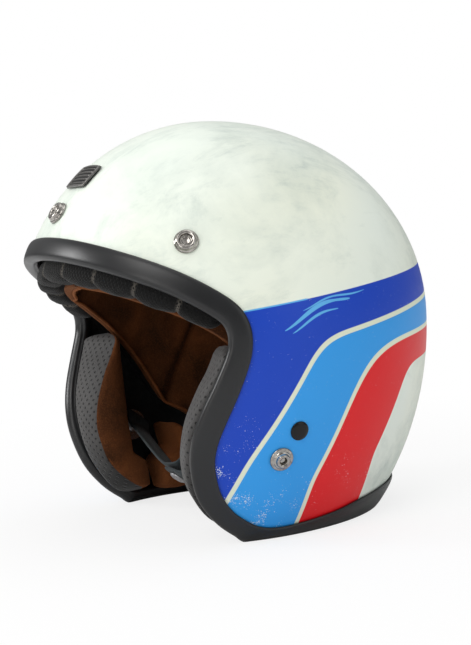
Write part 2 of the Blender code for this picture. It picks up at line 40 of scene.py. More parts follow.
camera = {"at": (0.8253, -0.4669, 0.20265), "azimuth": 60.39, "elevation": 4.556, "roll": -3.6,
          "lens": 79.11}
lights = {  # name: (place, aimed at, size, power, colour)
    "keySoftbox": ((0.9, -1.5, 1.7), (0, 0, 0.12), 1.1, 12, (1.0, 0.99, 0.97)),
    "leftStrip": ((-0.75, -1.35, 0.75), (0, -0.05, 0.12), 0.5, 9, (1, 1, 1)),
    "topSoftbox": ((0.1, 0.2, 2.1), (0, 0, 0.15), 1.6, 8, (1, 1, 1)),
    "frontFill": ((0.75, -1.5, 0.4), (0, 0, 0.1), 0.7, 3.4, (1.0, 0.98, 0.95)),
    "rightFill": ((1.9, 0.9, 0.7), (0, 0, 0.12), 1.4, 4.5, (0.97, 0.99, 1.0)),
}
backdrop = {
    "floorSize": 60, "floorFade": (0.1, 0.55, 0.8, 1.0),  # from and to in metres, then its light at each
    "roomGlow": (0.0, 0.8, 0.2, 0.66),  # from and to in height, then its light at each
}


def makeCamera(s):
    a, e, roll = radians(s["azimuth"]), radians(s["elevation"]), radians(s["roll"])
    back = Vector((sin(a) * cos(e), -cos(a) * cos(e), sin(e)))
    level = Vector((0, 0, 1)).cross(back).normalized()
    upright = back.cross(level)
    right = level * cos(roll) + upright * sin(roll)
    bpy.ops.object.camera_add(location=s["at"])
    made = bpy.context.object
    turned = Matrix((right, back.cross(right), back)).transposed().to_4x4()
    made.matrix_world = Matrix.Translation(s["at"]) @ turned
    made.data.lens = s["lens"]
    made.data.sensor_width = 36
    bpy.context.scene.camera = made


def addNode(tree, kind, **settings):
    made = tree.nodes.new(kind)
    for key, value in settings.items():
        setattr(made, key, value)
    return made


def plug(tree, value, socket):  # a socket is linked, anything else is set
    if isinstance(value, bpy.types.NodeSocket):
        tree.links.new(value, socket)
    else:
        socket.default_value = value


def spread(tree, value, low, high, toLow=0.0, toHigh=1.0):  # toLow at low, toHigh at high
    made = addNode(tree, "ShaderNodeMapRange")
    plug(tree, value, made.inputs["Value"])
    for key, limit in (("From Min", low), ("From Max", high), ("To Min", toLow), ("To Max", toHigh)):
        made.inputs[key].default_value = limit
    return made.outputs["Result"]


def makeStage():
    for name, (place, target, size, power, colour) in lights.items():
        bpy.ops.object.light_add(type="AREA", location=place)
        lamp = bpy.context.object
        lamp.name = name
        lamp.rotation_euler = (Vector(place) - Vector(target)).to_track_quat("Z", "Y").to_euler()
        lamp.data.shape = "DISK"
        lamp.data.size = size
        lamp.data.energy = power
        lamp.data.color = colour
    bpy.ops.mesh.primitive_plane_add(size=backdrop["floorSize"], location=(0, 0, -0.0002))
    floor = bpy.context.object
    floor.name = "paleFloor"
    made = bpy.data.materials.new("paleFloor")
    made.use_nodes = True
    tree = made.node_tree
    shader = tree.nodes["Principled BSDF"]
    shader.inputs["Base Color"].default_value = (0.92, 0.92, 0.92, 1)
    shader.inputs["Roughness"].default_value = 0.9
    glow = addNode(tree, "ShaderNodeEmission")
    glow.inputs["Strength"].default_value = 1.0
    path = addNode(tree, "ShaderNodeLightPath")
    away = addNode(tree, "ShaderNodeVectorMath", operation="LENGTH")  # the floor fades into the backdrop
    plug(tree, addNode(tree, "ShaderNodeTexCoord").outputs["Object"], away.inputs[0])
    part = addNode(tree, "ShaderNodeMath", operation="MULTIPLY")
    plug(tree, path.outputs["Is Camera Ray"], part.inputs[0])
    plug(tree, spread(tree, away.outputs[1], *backdrop["floorFade"]), part.inputs[1])
    mix = addNode(tree, "ShaderNodeMixShader")
    plug(tree, part.outputs[0], mix.inputs[0])
    plug(tree, shader.outputs[0], mix.inputs[1])
    plug(tree, glow.outputs[0], mix.inputs[2])
    plug(tree, mix.outputs[0], tree.nodes["Material Output"].inputs[0])
    floor.data.materials.append(made)
    world = bpy.data.worlds.new("paleStudio")
    bpy.context.scene.world = world
    world.use_nodes = True
    tree = world.node_tree
    room = tree.nodes["Background"]
    room.inputs["Color"].default_value = (1, 1, 1, 1)
    rise = addNode(tree, "ShaderNodeSeparateXYZ")
    plug(tree, addNode(tree, "ShaderNodeTexCoord").outputs["Generated"], rise.inputs[0])
    plug(tree, spread(tree, rise.outputs[2], *backdrop["roomGlow"]), room.inputs["Strength"])
    white = addNode(tree, "ShaderNodeBackground")
    white.inputs["Strength"].default_value = 1.0
    white.inputs["Color"].default_value = (1, 1, 1, 1)
    path = addNode(tree, "ShaderNodeLightPath")
    mix = addNode(tree, "ShaderNodeMixShader")
    plug(tree, path.outputs["Is Camera Ray"], mix.inputs[0])
    plug(tree, room.outputs[0], mix.inputs[1])
    plug(tree, white.outputs[0], mix.inputs[2])
    plug(tree, mix.outputs[0], tree.nodes["World Output"].inputs[0])
    bpy.context.scene.view_settings.view_transform = "Standard"


makeCamera(camera)
makeStage()
print("camera, lights and floor")


def srgb(r, g, b):
    shares = [c / 255 for c in (r, g, b)]
    return tuple(c / 12.92 if c < 0.0405 else ((c + 0.055) / 1.055) ** 2.4 for c in shares) + (1.0,)


def calc(tree, operation, *values, clamp=False):
    made = addNode(tree, "ShaderNodeMath", operation=operation, use_clamp=clamp)
    for socket, value in zip(made.inputs, values):
        plug(tree, value, socket)
    return made.outputs[0]


def vector(tree, operation, *values, out=0):
    made = addNode(tree, "ShaderNodeVectorMath", operation=operation)
    for socket, value in zip(made.inputs, values):
        plug(tree, value, socket)
    return made.outputs[out]


def blendColour(tree, share, first, second):
    made = addNode(tree, "ShaderNodeMix", data_type="RGBA")
    for index, value in ((0, share), (6, first), (7, second)):
        plug(tree, value, made.inputs[index])
    return made.outputs[2]


def noiseValue(tree, where, scale, detail=4.0, roughness=0.55, distortion=0.0):
    made = addNode(tree, "ShaderNodeTexNoise")
    plug(tree, where, made.inputs["Vector"])
    given = {"Scale": scale, "Detail": detail, "Roughness": roughness, "Distortion": distortion}
    for key, value in given.items():
        plug(tree, value, made.inputs[key])
    return made.outputs[0]


def newGroup(name, inputs, outputs):
    group = bpy.data.node_groups.new(name, "ShaderNodeTree")
    for label, kind, value in inputs:
        group.interface.new_socket(label, in_out="INPUT", socket_type=kind).default_value = value
    for label, kind in outputs:
        group.interface.new_socket(label, in_out="OUTPUT", socket_type=kind)
    return group, addNode(group, "NodeGroupInput").outputs, addNode(group, "NodeGroupOutput").inputs


def useGroup(tree, group, **values):
    made = addNode(tree, "ShaderNodeGroup", node_tree=group)
    for key, value in values.items():
        plug(tree, value, made.inputs[key])
    return made.outputs


def stripeEdgeGroup():  # how far a point lies beyond a border made of three straight runs
    group, given, result = newGroup(
        "stripeEdge",
        [("Place", "NodeSocketVector", (0, 0, 1)), ("High", "NodeSocketVector", (0, 1, 0)),
         ("Middle", "NodeSocketVector", (0, 1, 0)), ("Low", "NodeSocketVector", (0, 1, 0)),
         ("Softness", "NodeSocketFloat", 8.0)],
        [("Distance", "NodeSocketFloat")],
    )
    runs = [vector(group, "DOT_PRODUCT", given["Place"], given[k], out=1) for k in ("High", "Middle", "Low")]
    joined = calc(group, "SMOOTH_MAX", runs[0], runs[1], given["Softness"])
    plug(group, calc(group, "SMOOTH_MAX", joined, runs[2], 4.0), result["Distance"])
    return group


def perforationGroup():  # rows of round holes, each row half a step along from the last
    group, given, result = newGroup(
        "perforation",
        [("Place", "NodeSocketVector", (0, 0, 0)), ("Step", "NodeSocketFloat", 3.0),
         ("Radius", "NodeSocketFloat", 0.16)],
        [("Hole", "NodeSocketFloat")],
    )
    shrink = addNode(group, "ShaderNodeVectorMath", operation="SCALE")
    plug(group, given["Place"], shrink.inputs[0])
    plug(group, calc(group, "DIVIDE", 1.0, given["Step"]), shrink.inputs["Scale"])
    scaled = shrink.outputs[0]
    holes = []
    for shift in (0.0, 0.5):
        moved = vector(group, "ADD", scaled, (shift, shift, 0))
        inside = vector(group, "SUBTRACT", vector(group, "FRACTION", moved), (0.5, 0.5, 0))
        flat = vector(group, "MULTIPLY", inside, (1, 1, 0))
        away = vector(group, "LENGTH", flat, out=1)
        edge = calc(group, "SUBTRACT", given["Radius"], away)
        holes.append(calc(group, "MULTIPLY_ADD", edge, 14.0, 0.5, clamp=True))
    plug(group, calc(group, "MAXIMUM", *holes), result["Hole"])
    return group


def napGroup():  # brushed suede: soft lay marks and short fibres
    group, given, result = newGroup(
        "nap",
        [("Place", "NodeSocketVector", (0, 0, 0)), ("Scale", "NodeSocketFloat", 1.0)],
        [("Lay", "NodeSocketFloat"), ("Fibre", "NodeSocketFloat")],
    )
    lay = noiseValue(group, given["Place"], calc(group, "MULTIPLY", given["Scale"], 34.0), 3.0, 0.5, 0.8)
    fibre = noiseValue(group, given["Place"], calc(group, "MULTIPLY", given["Scale"], 900.0), 3.0, 0.7, 0.4)
    plug(group, spread(group, lay, 0.32, 0.7), result["Lay"])
    plug(group, fibre, result["Fibre"])
    return group


def grainGroup():  # leather-like or moulded grain
    group, given, result = newGroup(
        "grain",
        [("Place", "NodeSocketVector", (0, 0, 0)), ("Scale", "NodeSocketFloat", 800.0)],
        [("Height", "NodeSocketFloat"), ("Patch", "NodeSocketFloat")],
    )
    cells = addNode(group, "ShaderNodeTexVoronoi", feature="SMOOTH_F1")
    plug(group, given["Place"], cells.inputs["Vector"])
    plug(group, given["Scale"], cells.inputs["Scale"])
    fine = noiseValue(group, given["Place"], calc(group, "MULTIPLY", given["Scale"], 1.7), 3.0)
    plug(group, calc(group, "MULTIPLY_ADD", fine, 0.5, cells.outputs["Distance"]), result["Height"])
    wide = calc(group, "MULTIPLY", given["Scale"], 0.04)
    plug(group, noiseValue(group, given["Place"], wide, 4.0), result["Patch"])
    return group


def weaveGroup():  # plain weave on UVs in millimetres
    group, given, result = newGroup(
        "weave",
        [("Place", "NodeSocketVector", (0, 0, 0)), ("Pitch", "NodeSocketFloat", 1.2)],
        [("Height", "NodeSocketFloat")],
    )
    split = addNode(group, "ShaderNodeSeparateXYZ")
    plug(group, given["Place"], split.inputs[0])
    turns = calc(group, "DIVIDE", 2 * pi, given["Pitch"])
    along = calc(group, "SINE", calc(group, "MULTIPLY", split.outputs[0], turns))
    over = calc(group, "SINE", calc(group, "MULTIPLY", split.outputs[1], turns))
    plug(group, calc(group, "MULTIPLY_ADD", calc(group, "MULTIPLY", along, over), 0.5, 0.5), result["Height"])
    return group


def chipGroup():  # small paint chips in clusters, thicker near an edge
    group, given, result = newGroup(
        "chips",
        [("Place", "NodeSocketVector", (0, 0, 0)), ("Near", "NodeSocketFloat", 0.0)],
        [("Mask", "NodeSocketFloat")],
    )
    specks = noiseValue(group, given["Place"], 1150.0, 3.0, 0.6)
    clusters = spread(group, noiseValue(group, given["Place"], 62.0, 2.0), 0.46, 0.68)
    lifted = calc(group, "MULTIPLY_ADD", calc(group, "MULTIPLY", clusters, given["Near"]), 0.26, specks)
    plug(group, spread(group, lifted, 0.712, 0.742), result["Mask"])
    return group


stripeEdge, perforation, nap, grain, weave, chips = (
    stripeEdgeGroup(), perforationGroup(), napGroup(), grainGroup(), weaveGroup(), chipGroup()
)


def newMaterial(name, roughness, metallic=0.0, **fixed):
    made = bpy.data.materials.new(name)
    made.use_nodes = True
    tree = made.node_tree
    shader = tree.nodes["Principled BSDF"]
    shader.inputs["Roughness"].default_value = roughness
    shader.inputs["Metallic"].default_value = metallic
    for key, value in fixed.items():
        shader.inputs[key.replace("_", " ")].default_value = value
    places = addNode(tree, "ShaderNodeTexCoord").outputs
    return made, tree, shader.inputs, places


def bump(tree, inputs, height, distance, strength=1.0):
    made = addNode(tree, "ShaderNodeBump")
    made.inputs["Strength"].default_value = strength
    made.inputs["Distance"].default_value = distance
    plug(tree, height, made.inputs["Height"])
    plug(tree, made.outputs[0], inputs["Normal"])


domeMiddleY = -16.0      # the stripes and the pads are laid out from here
strapAxis = (-17.9, 52.55)  # the rivets: y from the dome's middle, z above the floor

paint = {
    "white": srgb(235, 243, 233), "smudgeAndShade": srgb(166, 182, 176), "warm": srgb(238, 242, 224),
    "royal": srgb(24, 68, 186), "sky": srgb(52, 156, 232), "red": srgb(222, 26, 32),
    "cream": srgb(226, 232, 208), "pin": srgb(96, 178, 232), "chip": srgb(214, 224, 232),
    # each border: three straight runs as (y, z, rise per mm), and how softly they join
    "top": ((30, 151, 0.101),) * 3,
    "creamHigh": ((27, 125, 0.146), (-11, 93, 1.5), (-42, 42, 2.6)),
    "creamLow": ((86, 116.5, 0.079), (24, 70, 1.96), (6, 34, 5.75)),
    "redLow": ((101, 99, 0.07), (68, 63, 1.74), (55, 30, 7.0)),
    "lineHalf": 1.5,
    "softness": {"top": 0.1, "creamHigh": 20.0, "creamLow": 46.0, "redLow": 18.0},
    # each swoosh: start and end from the dome's middle, height, rise, swing, waves, half width
    "swooshes": ((-17.0, 32.0, 139.5, 0.16, 6.4, 0.62, 0.85), (-12.0, 22.0, 135.0, 0.2, 4.4, 0.55, 0.6),
                 (-4.0, 45.0, 143.5, 0.13, 2.2, 1.0, 0.5)),
    "pinHalf": 0.45,
}


def shellPaint():
    made, tree, inputs, places = newMaterial("stripedPaint", 0.36, Specular_IOR_Level=0.24)
    split = addNode(tree, "ShaderNodeSeparateXYZ")
    plug(tree, places["Object"], split.inputs[0])
    y, z = (calc(tree, "MULTIPLY", split.outputs[k], 1000.0) for k in (1, 2))
    place = addNode(tree, "ShaderNodeCombineXYZ")
    plug(tree, y, place.inputs[0])
    plug(tree, z, place.inputs[1])
    place.inputs[2].default_value = 1.0

    def border(name):
        planes = []
        for runY, runZ, rise in paint[name]:
            n = 1 / hypot(1, rise)
            planes.append((-rise * n, n, -(runZ - rise * (runY + domeMiddleY)) * n))
        return useGroup(tree, stripeEdge, Place=place.outputs[0], High=planes[0], Middle=planes[1],
                        Low=planes[2], Softness=paint["softness"][name])["Distance"]

    def under(distance):
        return calc(tree, "MULTIPLY_ADD", distance, -3.0, 0.5, clamp=True)

    def line(distance, half):
        left = calc(tree, "SUBTRACT", half, calc(tree, "ABSOLUTE", distance))
        return calc(tree, "MULTIPLY_ADD", left, 3.0, 0.5, clamp=True)

    top, high, low, red = (border(k) for k in ("top", "creamHigh", "creamLow", "redLow"))
    stretched = addNode(tree, "ShaderNodeMapping")
    stretched.inputs["Rotation"].default_value = (0.5, 0.3, 0.7)
    stretched.inputs["Scale"].default_value = (1.0, 0.32, 0.8)
    plug(tree, places["Object"], stretched.inputs["Vector"])
    cloud = spread(tree, noiseValue(tree, places["Object"], 12.0, 7.0, 0.64, 0.3), 0.46, 0.74)
    streak = spread(tree, noiseValue(tree, stretched.outputs[0], 34.0, 9.0, 0.7, 0.5), 0.52, 0.8)
    hair = spread(tree, noiseValue(tree, stretched.outputs[0], 150.0, 6.0, 0.7, 0.2), 0.5, 0.8)
    lowShade = calc(tree, "MULTIPLY", spread(tree, split.outputs[2], 0.12, 0.03), 0.34)  # greyer low down: painted shade
    # the streaks and clouds are the paint's own brushed smudges; the greying low down mixed in with them is
    # painted shade
    marksAndLowShade = calc(tree, "MULTIPLY_ADD", streak, 0.62, calc(tree, "MULTIPLY", cloud, 0.42))
    marksAndLowShade = calc(tree, "MULTIPLY_ADD", calc(tree, "MULTIPLY", hair, cloud), 0.6, marksAndLowShade)
    marksAndLowShade = calc(tree, "ADD", calc(tree, "MULTIPLY", lowShade, calc(tree, "ADD", cloud, 0.55)), marksAndLowShade, clamp=True)
    warm = spread(tree, noiseValue(tree, places["Object"], 6.0, 2.0), 0.42, 0.66)
    white = blendColour(tree, warm, paint["white"], paint["warm"])
    # the smudge colour also carries the painted shade low down
    white = blendColour(tree, marksAndLowShade, white, paint["smudgeAndShade"])
    stripe = blendColour(tree, under(high), paint["royal"], paint["sky"])
    stripe = blendColour(tree, under(low), stripe, paint["red"])
    lines = calc(tree, "MAXIMUM", line(high, paint["lineHalf"]), line(low, paint["lineHalf"]))
    stripe = blendColour(tree, lines, stripe, paint["cream"])
    near = addNode(tree, "ShaderNodeAttribute", attribute_name="edgeNear").outputs["Fac"]
    chipped = useGroup(tree, chips, Place=places["Object"], Near=near)["Mask"]
    stripe = blendColour(tree, chipped, stripe, paint["chip"])
    striped = calc(tree, "MULTIPLY", under(top), calc(tree, "SUBTRACT", 1.0, under(red)))
    colour = blendColour(tree, striped, white, stripe)

    # a light pinstripe runs back from the opening and ends in a plain brushed flourish
    yLocal = calc(tree, "SUBTRACT", y, domeMiddleY)
    ahead = calc(tree, "MULTIPLY_ADD", yLocal, -0.5, 0.5, clamp=True)
    pin = calc(tree, "MULTIPLY", line(top, paint["pinHalf"]), ahead)
    flourish = None
    for start, end, base, rise, swing, waves, half in paint["swooshes"]:
        share = calc(tree, "DIVIDE", calc(tree, "SUBTRACT", yLocal, start), end - start, clamp=True)
        fade = calc(tree, "MULTIPLY", calc(tree, "SUBTRACT", 1.1, share), swing)
        turns = calc(tree, "MULTIPLY_ADD", share, 2 * pi * waves, -1.4)
        wave = calc(tree, "SINE", turns)
        middle = calc(tree, "MULTIPLY_ADD", wave, fade, calc(tree, "MULTIPLY_ADD", yLocal, rise, base))
        off = calc(tree, "ABSOLUTE", calc(tree, "SUBTRACT", z, middle))
        ends = calc(tree, "MULTIPLY", share, calc(tree, "SUBTRACT", 1.0, share))
        slope = calc(tree, "ABSOLUTE", calc(tree, "COSINE", turns))
        steep = calc(tree, "MULTIPLY_ADD", slope, swing * 0.12, 1.0)
        width = calc(tree, "MULTIPLY", calc(tree, "POWER", calc(tree, "MULTIPLY", ends, 4.0), 0.4), half)
        left = calc(tree, "SUBTRACT", calc(tree, "MULTIPLY", width, steep), off)
        body = calc(tree, "MULTIPLY_ADD", left, 2.5, 0.4, clamp=True)
        body = calc(tree, "MULTIPLY", body, calc(tree, "GREATER_THAN", ends, 0.002))
        flourish = body if flourish is None else calc(tree, "MAXIMUM", flourish, body)
    colour = blendColour(tree, calc(tree, "MAXIMUM", pin, flourish), colour, paint["pin"])
    plug(tree, colour, inputs["Base Color"])
    plug(tree, calc(tree, "MULTIPLY_ADD", marksAndLowShade, 0.14, 0.34), inputs["Roughness"])
    bump(tree, inputs, noiseValue(tree, places["Object"], 260.0, 3.0), 0.00004, 0.5)
    return made


def rubberLook():
    made, tree, inputs, places = newMaterial("trimRubber", 0.42, Specular_IOR_Level=0.5)
    found = useGroup(tree, grain, Place=places["Object"], Scale=1500.0)
    plug(tree, blendColour(tree, found["Patch"], srgb(10, 11, 13), srgb(16, 17, 20)), inputs["Base Color"])
    plug(tree, calc(tree, "MULTIPLY_ADD", found["Patch"], 0.12, 0.29), inputs["Roughness"])
    bump(tree, inputs, found["Height"], 0.00005, 0.35)
    return made


def foamLook():
    made, tree, inputs, places = newMaterial("blackBeadFoam", 0.85)
    found = useGroup(tree, grain, Place=places["Object"], Scale=330.0)
    plug(tree, blendColour(tree, found["Height"], srgb(14, 14, 14), srgb(30, 30, 30)), inputs["Base Color"])
    bump(tree, inputs, found["Height"], 0.0006, 0.7)
    return made


def suedeLook(name, dark, light, sheen):
    made, tree, inputs, places = newMaterial(name, 0.95, Sheen_Weight=sheen, Sheen_Roughness=0.45,
                                             Specular_IOR_Level=0.15)
    inputs["Sheen Tint"].default_value = srgb(196, 130, 84)
    found = useGroup(tree, nap, Place=places["Object"], Scale=1.0)
    base = blendColour(tree, found["Lay"], dark, light)
    # the suede darkens to near black along the crown seams: painted shade in the seam valleys
    seam = addNode(tree, "ShaderNodeAttribute", attribute_name="seamNear").outputs["Fac"]
    base = blendColour(tree, calc(tree, "MULTIPLY", seam, 0.9, clamp=True), base, srgb(14, 7, 4))
    speck = calc(tree, "MULTIPLY", spread(tree, found["Fibre"], 0.45, 0.8), 0.3)
    plug(tree, blendColour(tree, speck, base, srgb(150, 92, 50)), inputs["Base Color"])
    bump(tree, inputs, found["Fibre"], 0.0005, 0.55)
    return made


def perforatedLook(name, low, high, step, radius, weight):  # the holes run in rows on the pad's upright face
    made, tree, inputs, places = newMaterial(name, 0.6, Sheen_Weight=0.12, Specular_IOR_Level=0.35)
    split = addNode(tree, "ShaderNodeSeparateXYZ")
    plug(tree, places["Object"], split.inputs[0])
    upright = addNode(tree, "ShaderNodeCombineXYZ")
    for k, axis in enumerate((0, 2)):
        plug(tree, calc(tree, "MULTIPLY", split.outputs[axis], 1000.0), upright.inputs[k])
    holes = useGroup(tree, perforation, Place=upright.outputs[0], Step=step, Radius=radius)["Hole"]
    found = useGroup(tree, grain, Place=places["Object"], Scale=1300.0)
    base = blendColour(tree, found["Patch"], low, high)
    # darker towards the bottom: painted shade
    base = blendColour(tree, spread(tree, split.outputs[2], 0.055, 0.024), base, srgb(16, 16, 16))
    plug(tree, blendColour(tree, holes, base, srgb(6, 6, 6)), inputs["Base Color"])
    height = calc(tree, "SUBTRACT", calc(tree, "MULTIPLY", found["Height"], weight), holes)
    bump(tree, inputs, height, 0.0005, 0.8)
    return made


def quiltLook():  # open-mesh brow fabric with faint light fibre tips: painted glints
    made, tree, inputs, places = newMaterial("blackMeshFabric", 0.9, Sheen_Weight=0.1, Sheen_Roughness=0.4,
                                             Specular_IOR_Level=0.3)
    holes = useGroup(tree, perforation, Place=places["UV"], Step=2.5, Radius=0.2)["Hole"]
    fibre = noiseValue(tree, places["Object"], 1400.0, 3.0, 0.7)
    # light fibre tips: painted glints
    glintTips = spread(tree, fibre, 0.62, 0.75)
    base = blendColour(tree, glintTips, srgb(10, 10, 10), srgb(80, 77, 74))
    # lighter where two pleats meet: painted highlight
    ridge = addNode(tree, "ShaderNodeAttribute", attribute_name="seamNear").outputs["Fac"]
    base = blendColour(tree, calc(tree, "MULTIPLY", ridge, 0.6), base, srgb(120, 114, 106))
    plug(tree, blendColour(tree, holes, base, srgb(5, 5, 5)), inputs["Base Color"])
    bump(tree, inputs, calc(tree, "SUBTRACT", fibre, holes), 0.0005, 0.7)
    return made


def metalLook(name, colour, shade, roughness, scale):
    made, tree, inputs, places = newMaterial(name, roughness, 1.0)
    wear = noiseValue(tree, places["Object"], scale, 5.0, 0.65)
    worn = blendColour(tree, spread(tree, wear, 0.35, 0.7), colour, shade)
    # where seamNear is stored (the badge's grooves) the metal darkens: painted shade
    dark = addNode(tree, "ShaderNodeAttribute", attribute_name="seamNear").outputs["Fac"]
    plug(tree, blendColour(tree, dark, worn, srgb(26, 26, 26)), inputs["Base Color"])
    plug(tree, calc(tree, "MULTIPLY_ADD", wear, roughness, roughness * 0.5), inputs["Roughness"])
    bump(tree, inputs, wear, 0.00001, 0.12)
    return made


def plasticLook():
    made, tree, inputs, places = newMaterial("plugPlastic", 0.25, Specular_IOR_Level=0.3)
    found = useGroup(tree, grain, Place=places["Object"], Scale=2200.0)
    plug(tree, blendColour(tree, found["Patch"], srgb(5, 5, 6), srgb(10, 10, 11)), inputs["Base Color"])
    bump(tree, inputs, found["Height"], 0.00004, 0.4)
    return made


def webbingLook():
    made, tree, inputs, places = newMaterial("slateWebbing", 0.85, Sheen_Weight=0.1, Specular_IOR_Level=0.25)
    height = useGroup(tree, weave, Place=places["UV"], Pitch=1.5)["Height"]
    patch = noiseValue(tree, places["Object"], 240.0, 4.0)
    low = blendColour(tree, patch, srgb(30, 36, 38), srgb(44, 51, 54))
    plug(tree, blendColour(tree, height, low, srgb(58, 67, 71)), inputs["Base Color"])
    bump(tree, inputs, height, 0.0004, 0.8)
    return made


def threadLook():
    made, tree, inputs, places = newMaterial("strapThread", 0.6, Sheen_Weight=0.2)
    twist = noiseValue(tree, places["Object"], 2600.0, 2.0)
    plug(tree, blendColour(tree, twist, srgb(92, 98, 102), srgb(128, 134, 138)), inputs["Base Color"])
    bump(tree, inputs, twist, 0.0001, 0.5)
    return made


looks = {
    "paint": shellPaint(), "rubber": rubberLook(), "foam": foamLook(),
    "suede": suedeLook("brownSuede", srgb(52, 29, 15), srgb(96, 54, 27), 0.3),
    # a lighter copy of the brown suede: painted light on the pipings and the lobe pads
    "edgeSuede": suedeLook("edgeSuede", srgb(90, 51, 26), srgb(118, 68, 35), 0.4),
    "leather": perforatedLook("greyLeatherette", srgb(56, 55, 55), srgb(74, 72, 71), 5.2, 0.14, 0.25),
    "quilt": quiltLook(),
    "chrome": metalLook("brightChrome", srgb(186, 182, 176), srgb(116, 112, 108), 0.1, 260.0),
    "steel": metalLook("plainSteel", srgb(176, 176, 178), srgb(128, 128, 130), 0.3, 700.0),
    "pewter": metalLook("agedPewter", srgb(150, 148, 145), srgb(96, 94, 92), 0.34, 900.0),
    "plastic": plasticLook(), "webbing": webbingLook(), "thread": threadLook(),
}
print("materials")


def deselect():
    bpy.ops.object.select_all(action="DESELECT")


def finished(made, name, look, body="helmet"):  # seams merged, faces out, smooth
    deselect()
    made.select_set(True)
    bpy.context.view_layer.objects.active = made
    made.name = name
    made.data.name = name
    bpy.ops.object.mode_set(mode="EDIT")
    bpy.ops.mesh.select_all(action="SELECT")
    bpy.ops.mesh.remove_doubles(threshold=0.000004)
    bpy.ops.mesh.normals_make_consistent(inside=False)
    bpy.ops.object.mode_set(mode="OBJECT")
    bpy.ops.object.shade_smooth()
    for each in look if isinstance(look, (list, tuple)) else [look]:
        made.data.materials.append(looks[each])
    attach(made, body)
    return made


def applyModifier(made, kind, **settings):
    deselect()
    made.select_set(True)
    bpy.context.view_layer.objects.active = made
    added = made.modifiers.new(kind.lower(), kind)
    for key, value in settings.items():
        setattr(added, key, value)
    bpy.ops.object.modifier_apply(modifier=added.name)


def shapedGrid(columns, rows, place, uvSize):  # a grid whose points are put on a shape, in mm
    deselect()
    bpy.ops.mesh.primitive_grid_add(x_subdivisions=columns, y_subdivisions=rows, size=2)
    made = bpy.context.object
    for vert in made.data.vertices:
        i, j = round((vert.co.x + 1) / 2 * columns), round((vert.co.y + 1) / 2 * rows)
        vert.co = place(i, j) * mm
    for loop in made.data.uv_layers.active.data:
        loop.uv = (loop.uv[0] * uvSize[0], loop.uv[1] * uvSize[1])
    return made


def secondLook(made, low, high):  # faces between two shares of the way round take the second material
    uv = made.data.uv_layers.active.data
    full = max(loop.uv[1] for loop in uv)
    for polygon in made.data.polygons:
        middle = sum(uv[k].uv[1] for k in polygon.loop_indices) / len(polygon.loop_indices) / full
        polygon.material_index = 1 if low < middle < high else 0


def catmull(points, perSpan, closed=False):
    if closed:
        held = [points[-1], *points, points[0], points[1]]
    else:
        held = [points[0] * 2 - points[1], *points, points[-1] * 2 - points[-2]]
    curve = []
    for p, q, r, s in zip(held, held[1:], held[2:], held[3:]):
        for k in range(perSpan):
            t = k / perSpan
            curve.append(0.5 * (q * 2 + (r - p) * t + (p * 2 - q * 5 + r * 4 - s) * t**2
                                + (q * 3 - p - r * 3 + s) * t**3))
    return curve if closed else [*curve, points[-1]]


def loft(steps, around, ringAt, closed=False, endLength=0.05):  # skin through rings, with rounded ends
    rings = []
    for i in range(steps if closed else steps + 1):
        share = i / steps
        ring = ringAt(share)
        if not closed:
            past = max(endLength - share, share - 1 + endLength, 0) / endLength
            size = sqrt(max(1 - past**2, 0))
            middle = sum(ring, Vector()) / len(ring)
            ring = [middle.lerp(p, size) for p in ring]
        rings.append(ring)
    if closed:
        rings.append(rings[0])
    middles = [sum(r, Vector()) / len(r) for r in rings]
    length = sum((b - a).length for a, b in zip(middles, middles[1:]))
    half = rings[len(rings) // 2]
    girth = sum((b - a).length for a, b in zip(half, half[1:] + half[:1]))
    return shapedGrid(steps, around, lambda i, j: rings[i][j % around], (length, girth))


def tube(points, radius, up, closed=False, around=12):  # round wire or piping; up gives its upper side
    steps = len(points) if closed else len(points) - 1

    def ringAt(share):
        i = round(share * steps)
        here = points[i]
        ahead = points[(i + 1) % len(points)] if closed or i < steps else here
        behind = points[i - 1] if closed or i else here
        tangent = (ahead - behind).normalized()
        side = tangent.cross(up(here)).normalized()
        lift = side.cross(tangent)
        turns = (2 * pi * k / around for k in range(around))
        return [here + (side * cos(a) + lift * sin(a)) * radius for a in turns]

    return loft(steps, around, ringAt, closed, 1.5 / steps)


def softened(ring, reach):  # rounds off a ring's corners
    weights = [(o, 1 + reach - abs(o)) for o in range(-reach, reach + 1)]
    scale = sum(w for _, w in weights)
    n = len(ring)
    return [sum((ring[(i + o) % n] * w for o, w in weights), Vector()) / scale for i in range(n)]


def signedPower(value, power):
    return abs(value) ** power * (1 if value > 0 else -1)


def turnedPart(name, profile, place, look, body="helmet", segments=56, soft=0.2):  # profile: (radius, height)
    deselect()
    radius, height = profile[0]
    bpy.ops.mesh.primitive_circle_add(vertices=segments, radius=radius, fill_type="NGON", location=(0, 0, 0))
    made = bpy.context.object
    bpy.ops.object.mode_set(mode="EDIT")
    bpy.ops.mesh.select_all(action="SELECT")
    bpy.ops.transform.translate(value=(0, 0, height))
    for nextRadius, nextHeight in profile[1:]:
        bpy.ops.mesh.extrude_region_move(TRANSFORM_OT_translate={"value": (0, 0, nextHeight - height)})
        grow = nextRadius / radius
        bpy.ops.transform.resize(value=(grow, grow, 1), center_override=(0, 0, nextHeight))
        radius, height = nextRadius, nextHeight
    bpy.ops.object.mode_set(mode="OBJECT")
    applyModifier(made, "BEVEL", width=soft, segments=2, limit_method="ANGLE", angle_limit=radians(28))
    turned = place.to_3x3().to_4x4() @ Matrix.Scale(mm, 4)
    made.data.transform(Matrix.Translation(place.translation * mm) @ turned)
    finished(made, name, look, body)
    bpy.ops.object.shade_smooth_by_angle(angle=radians(40))
    return made


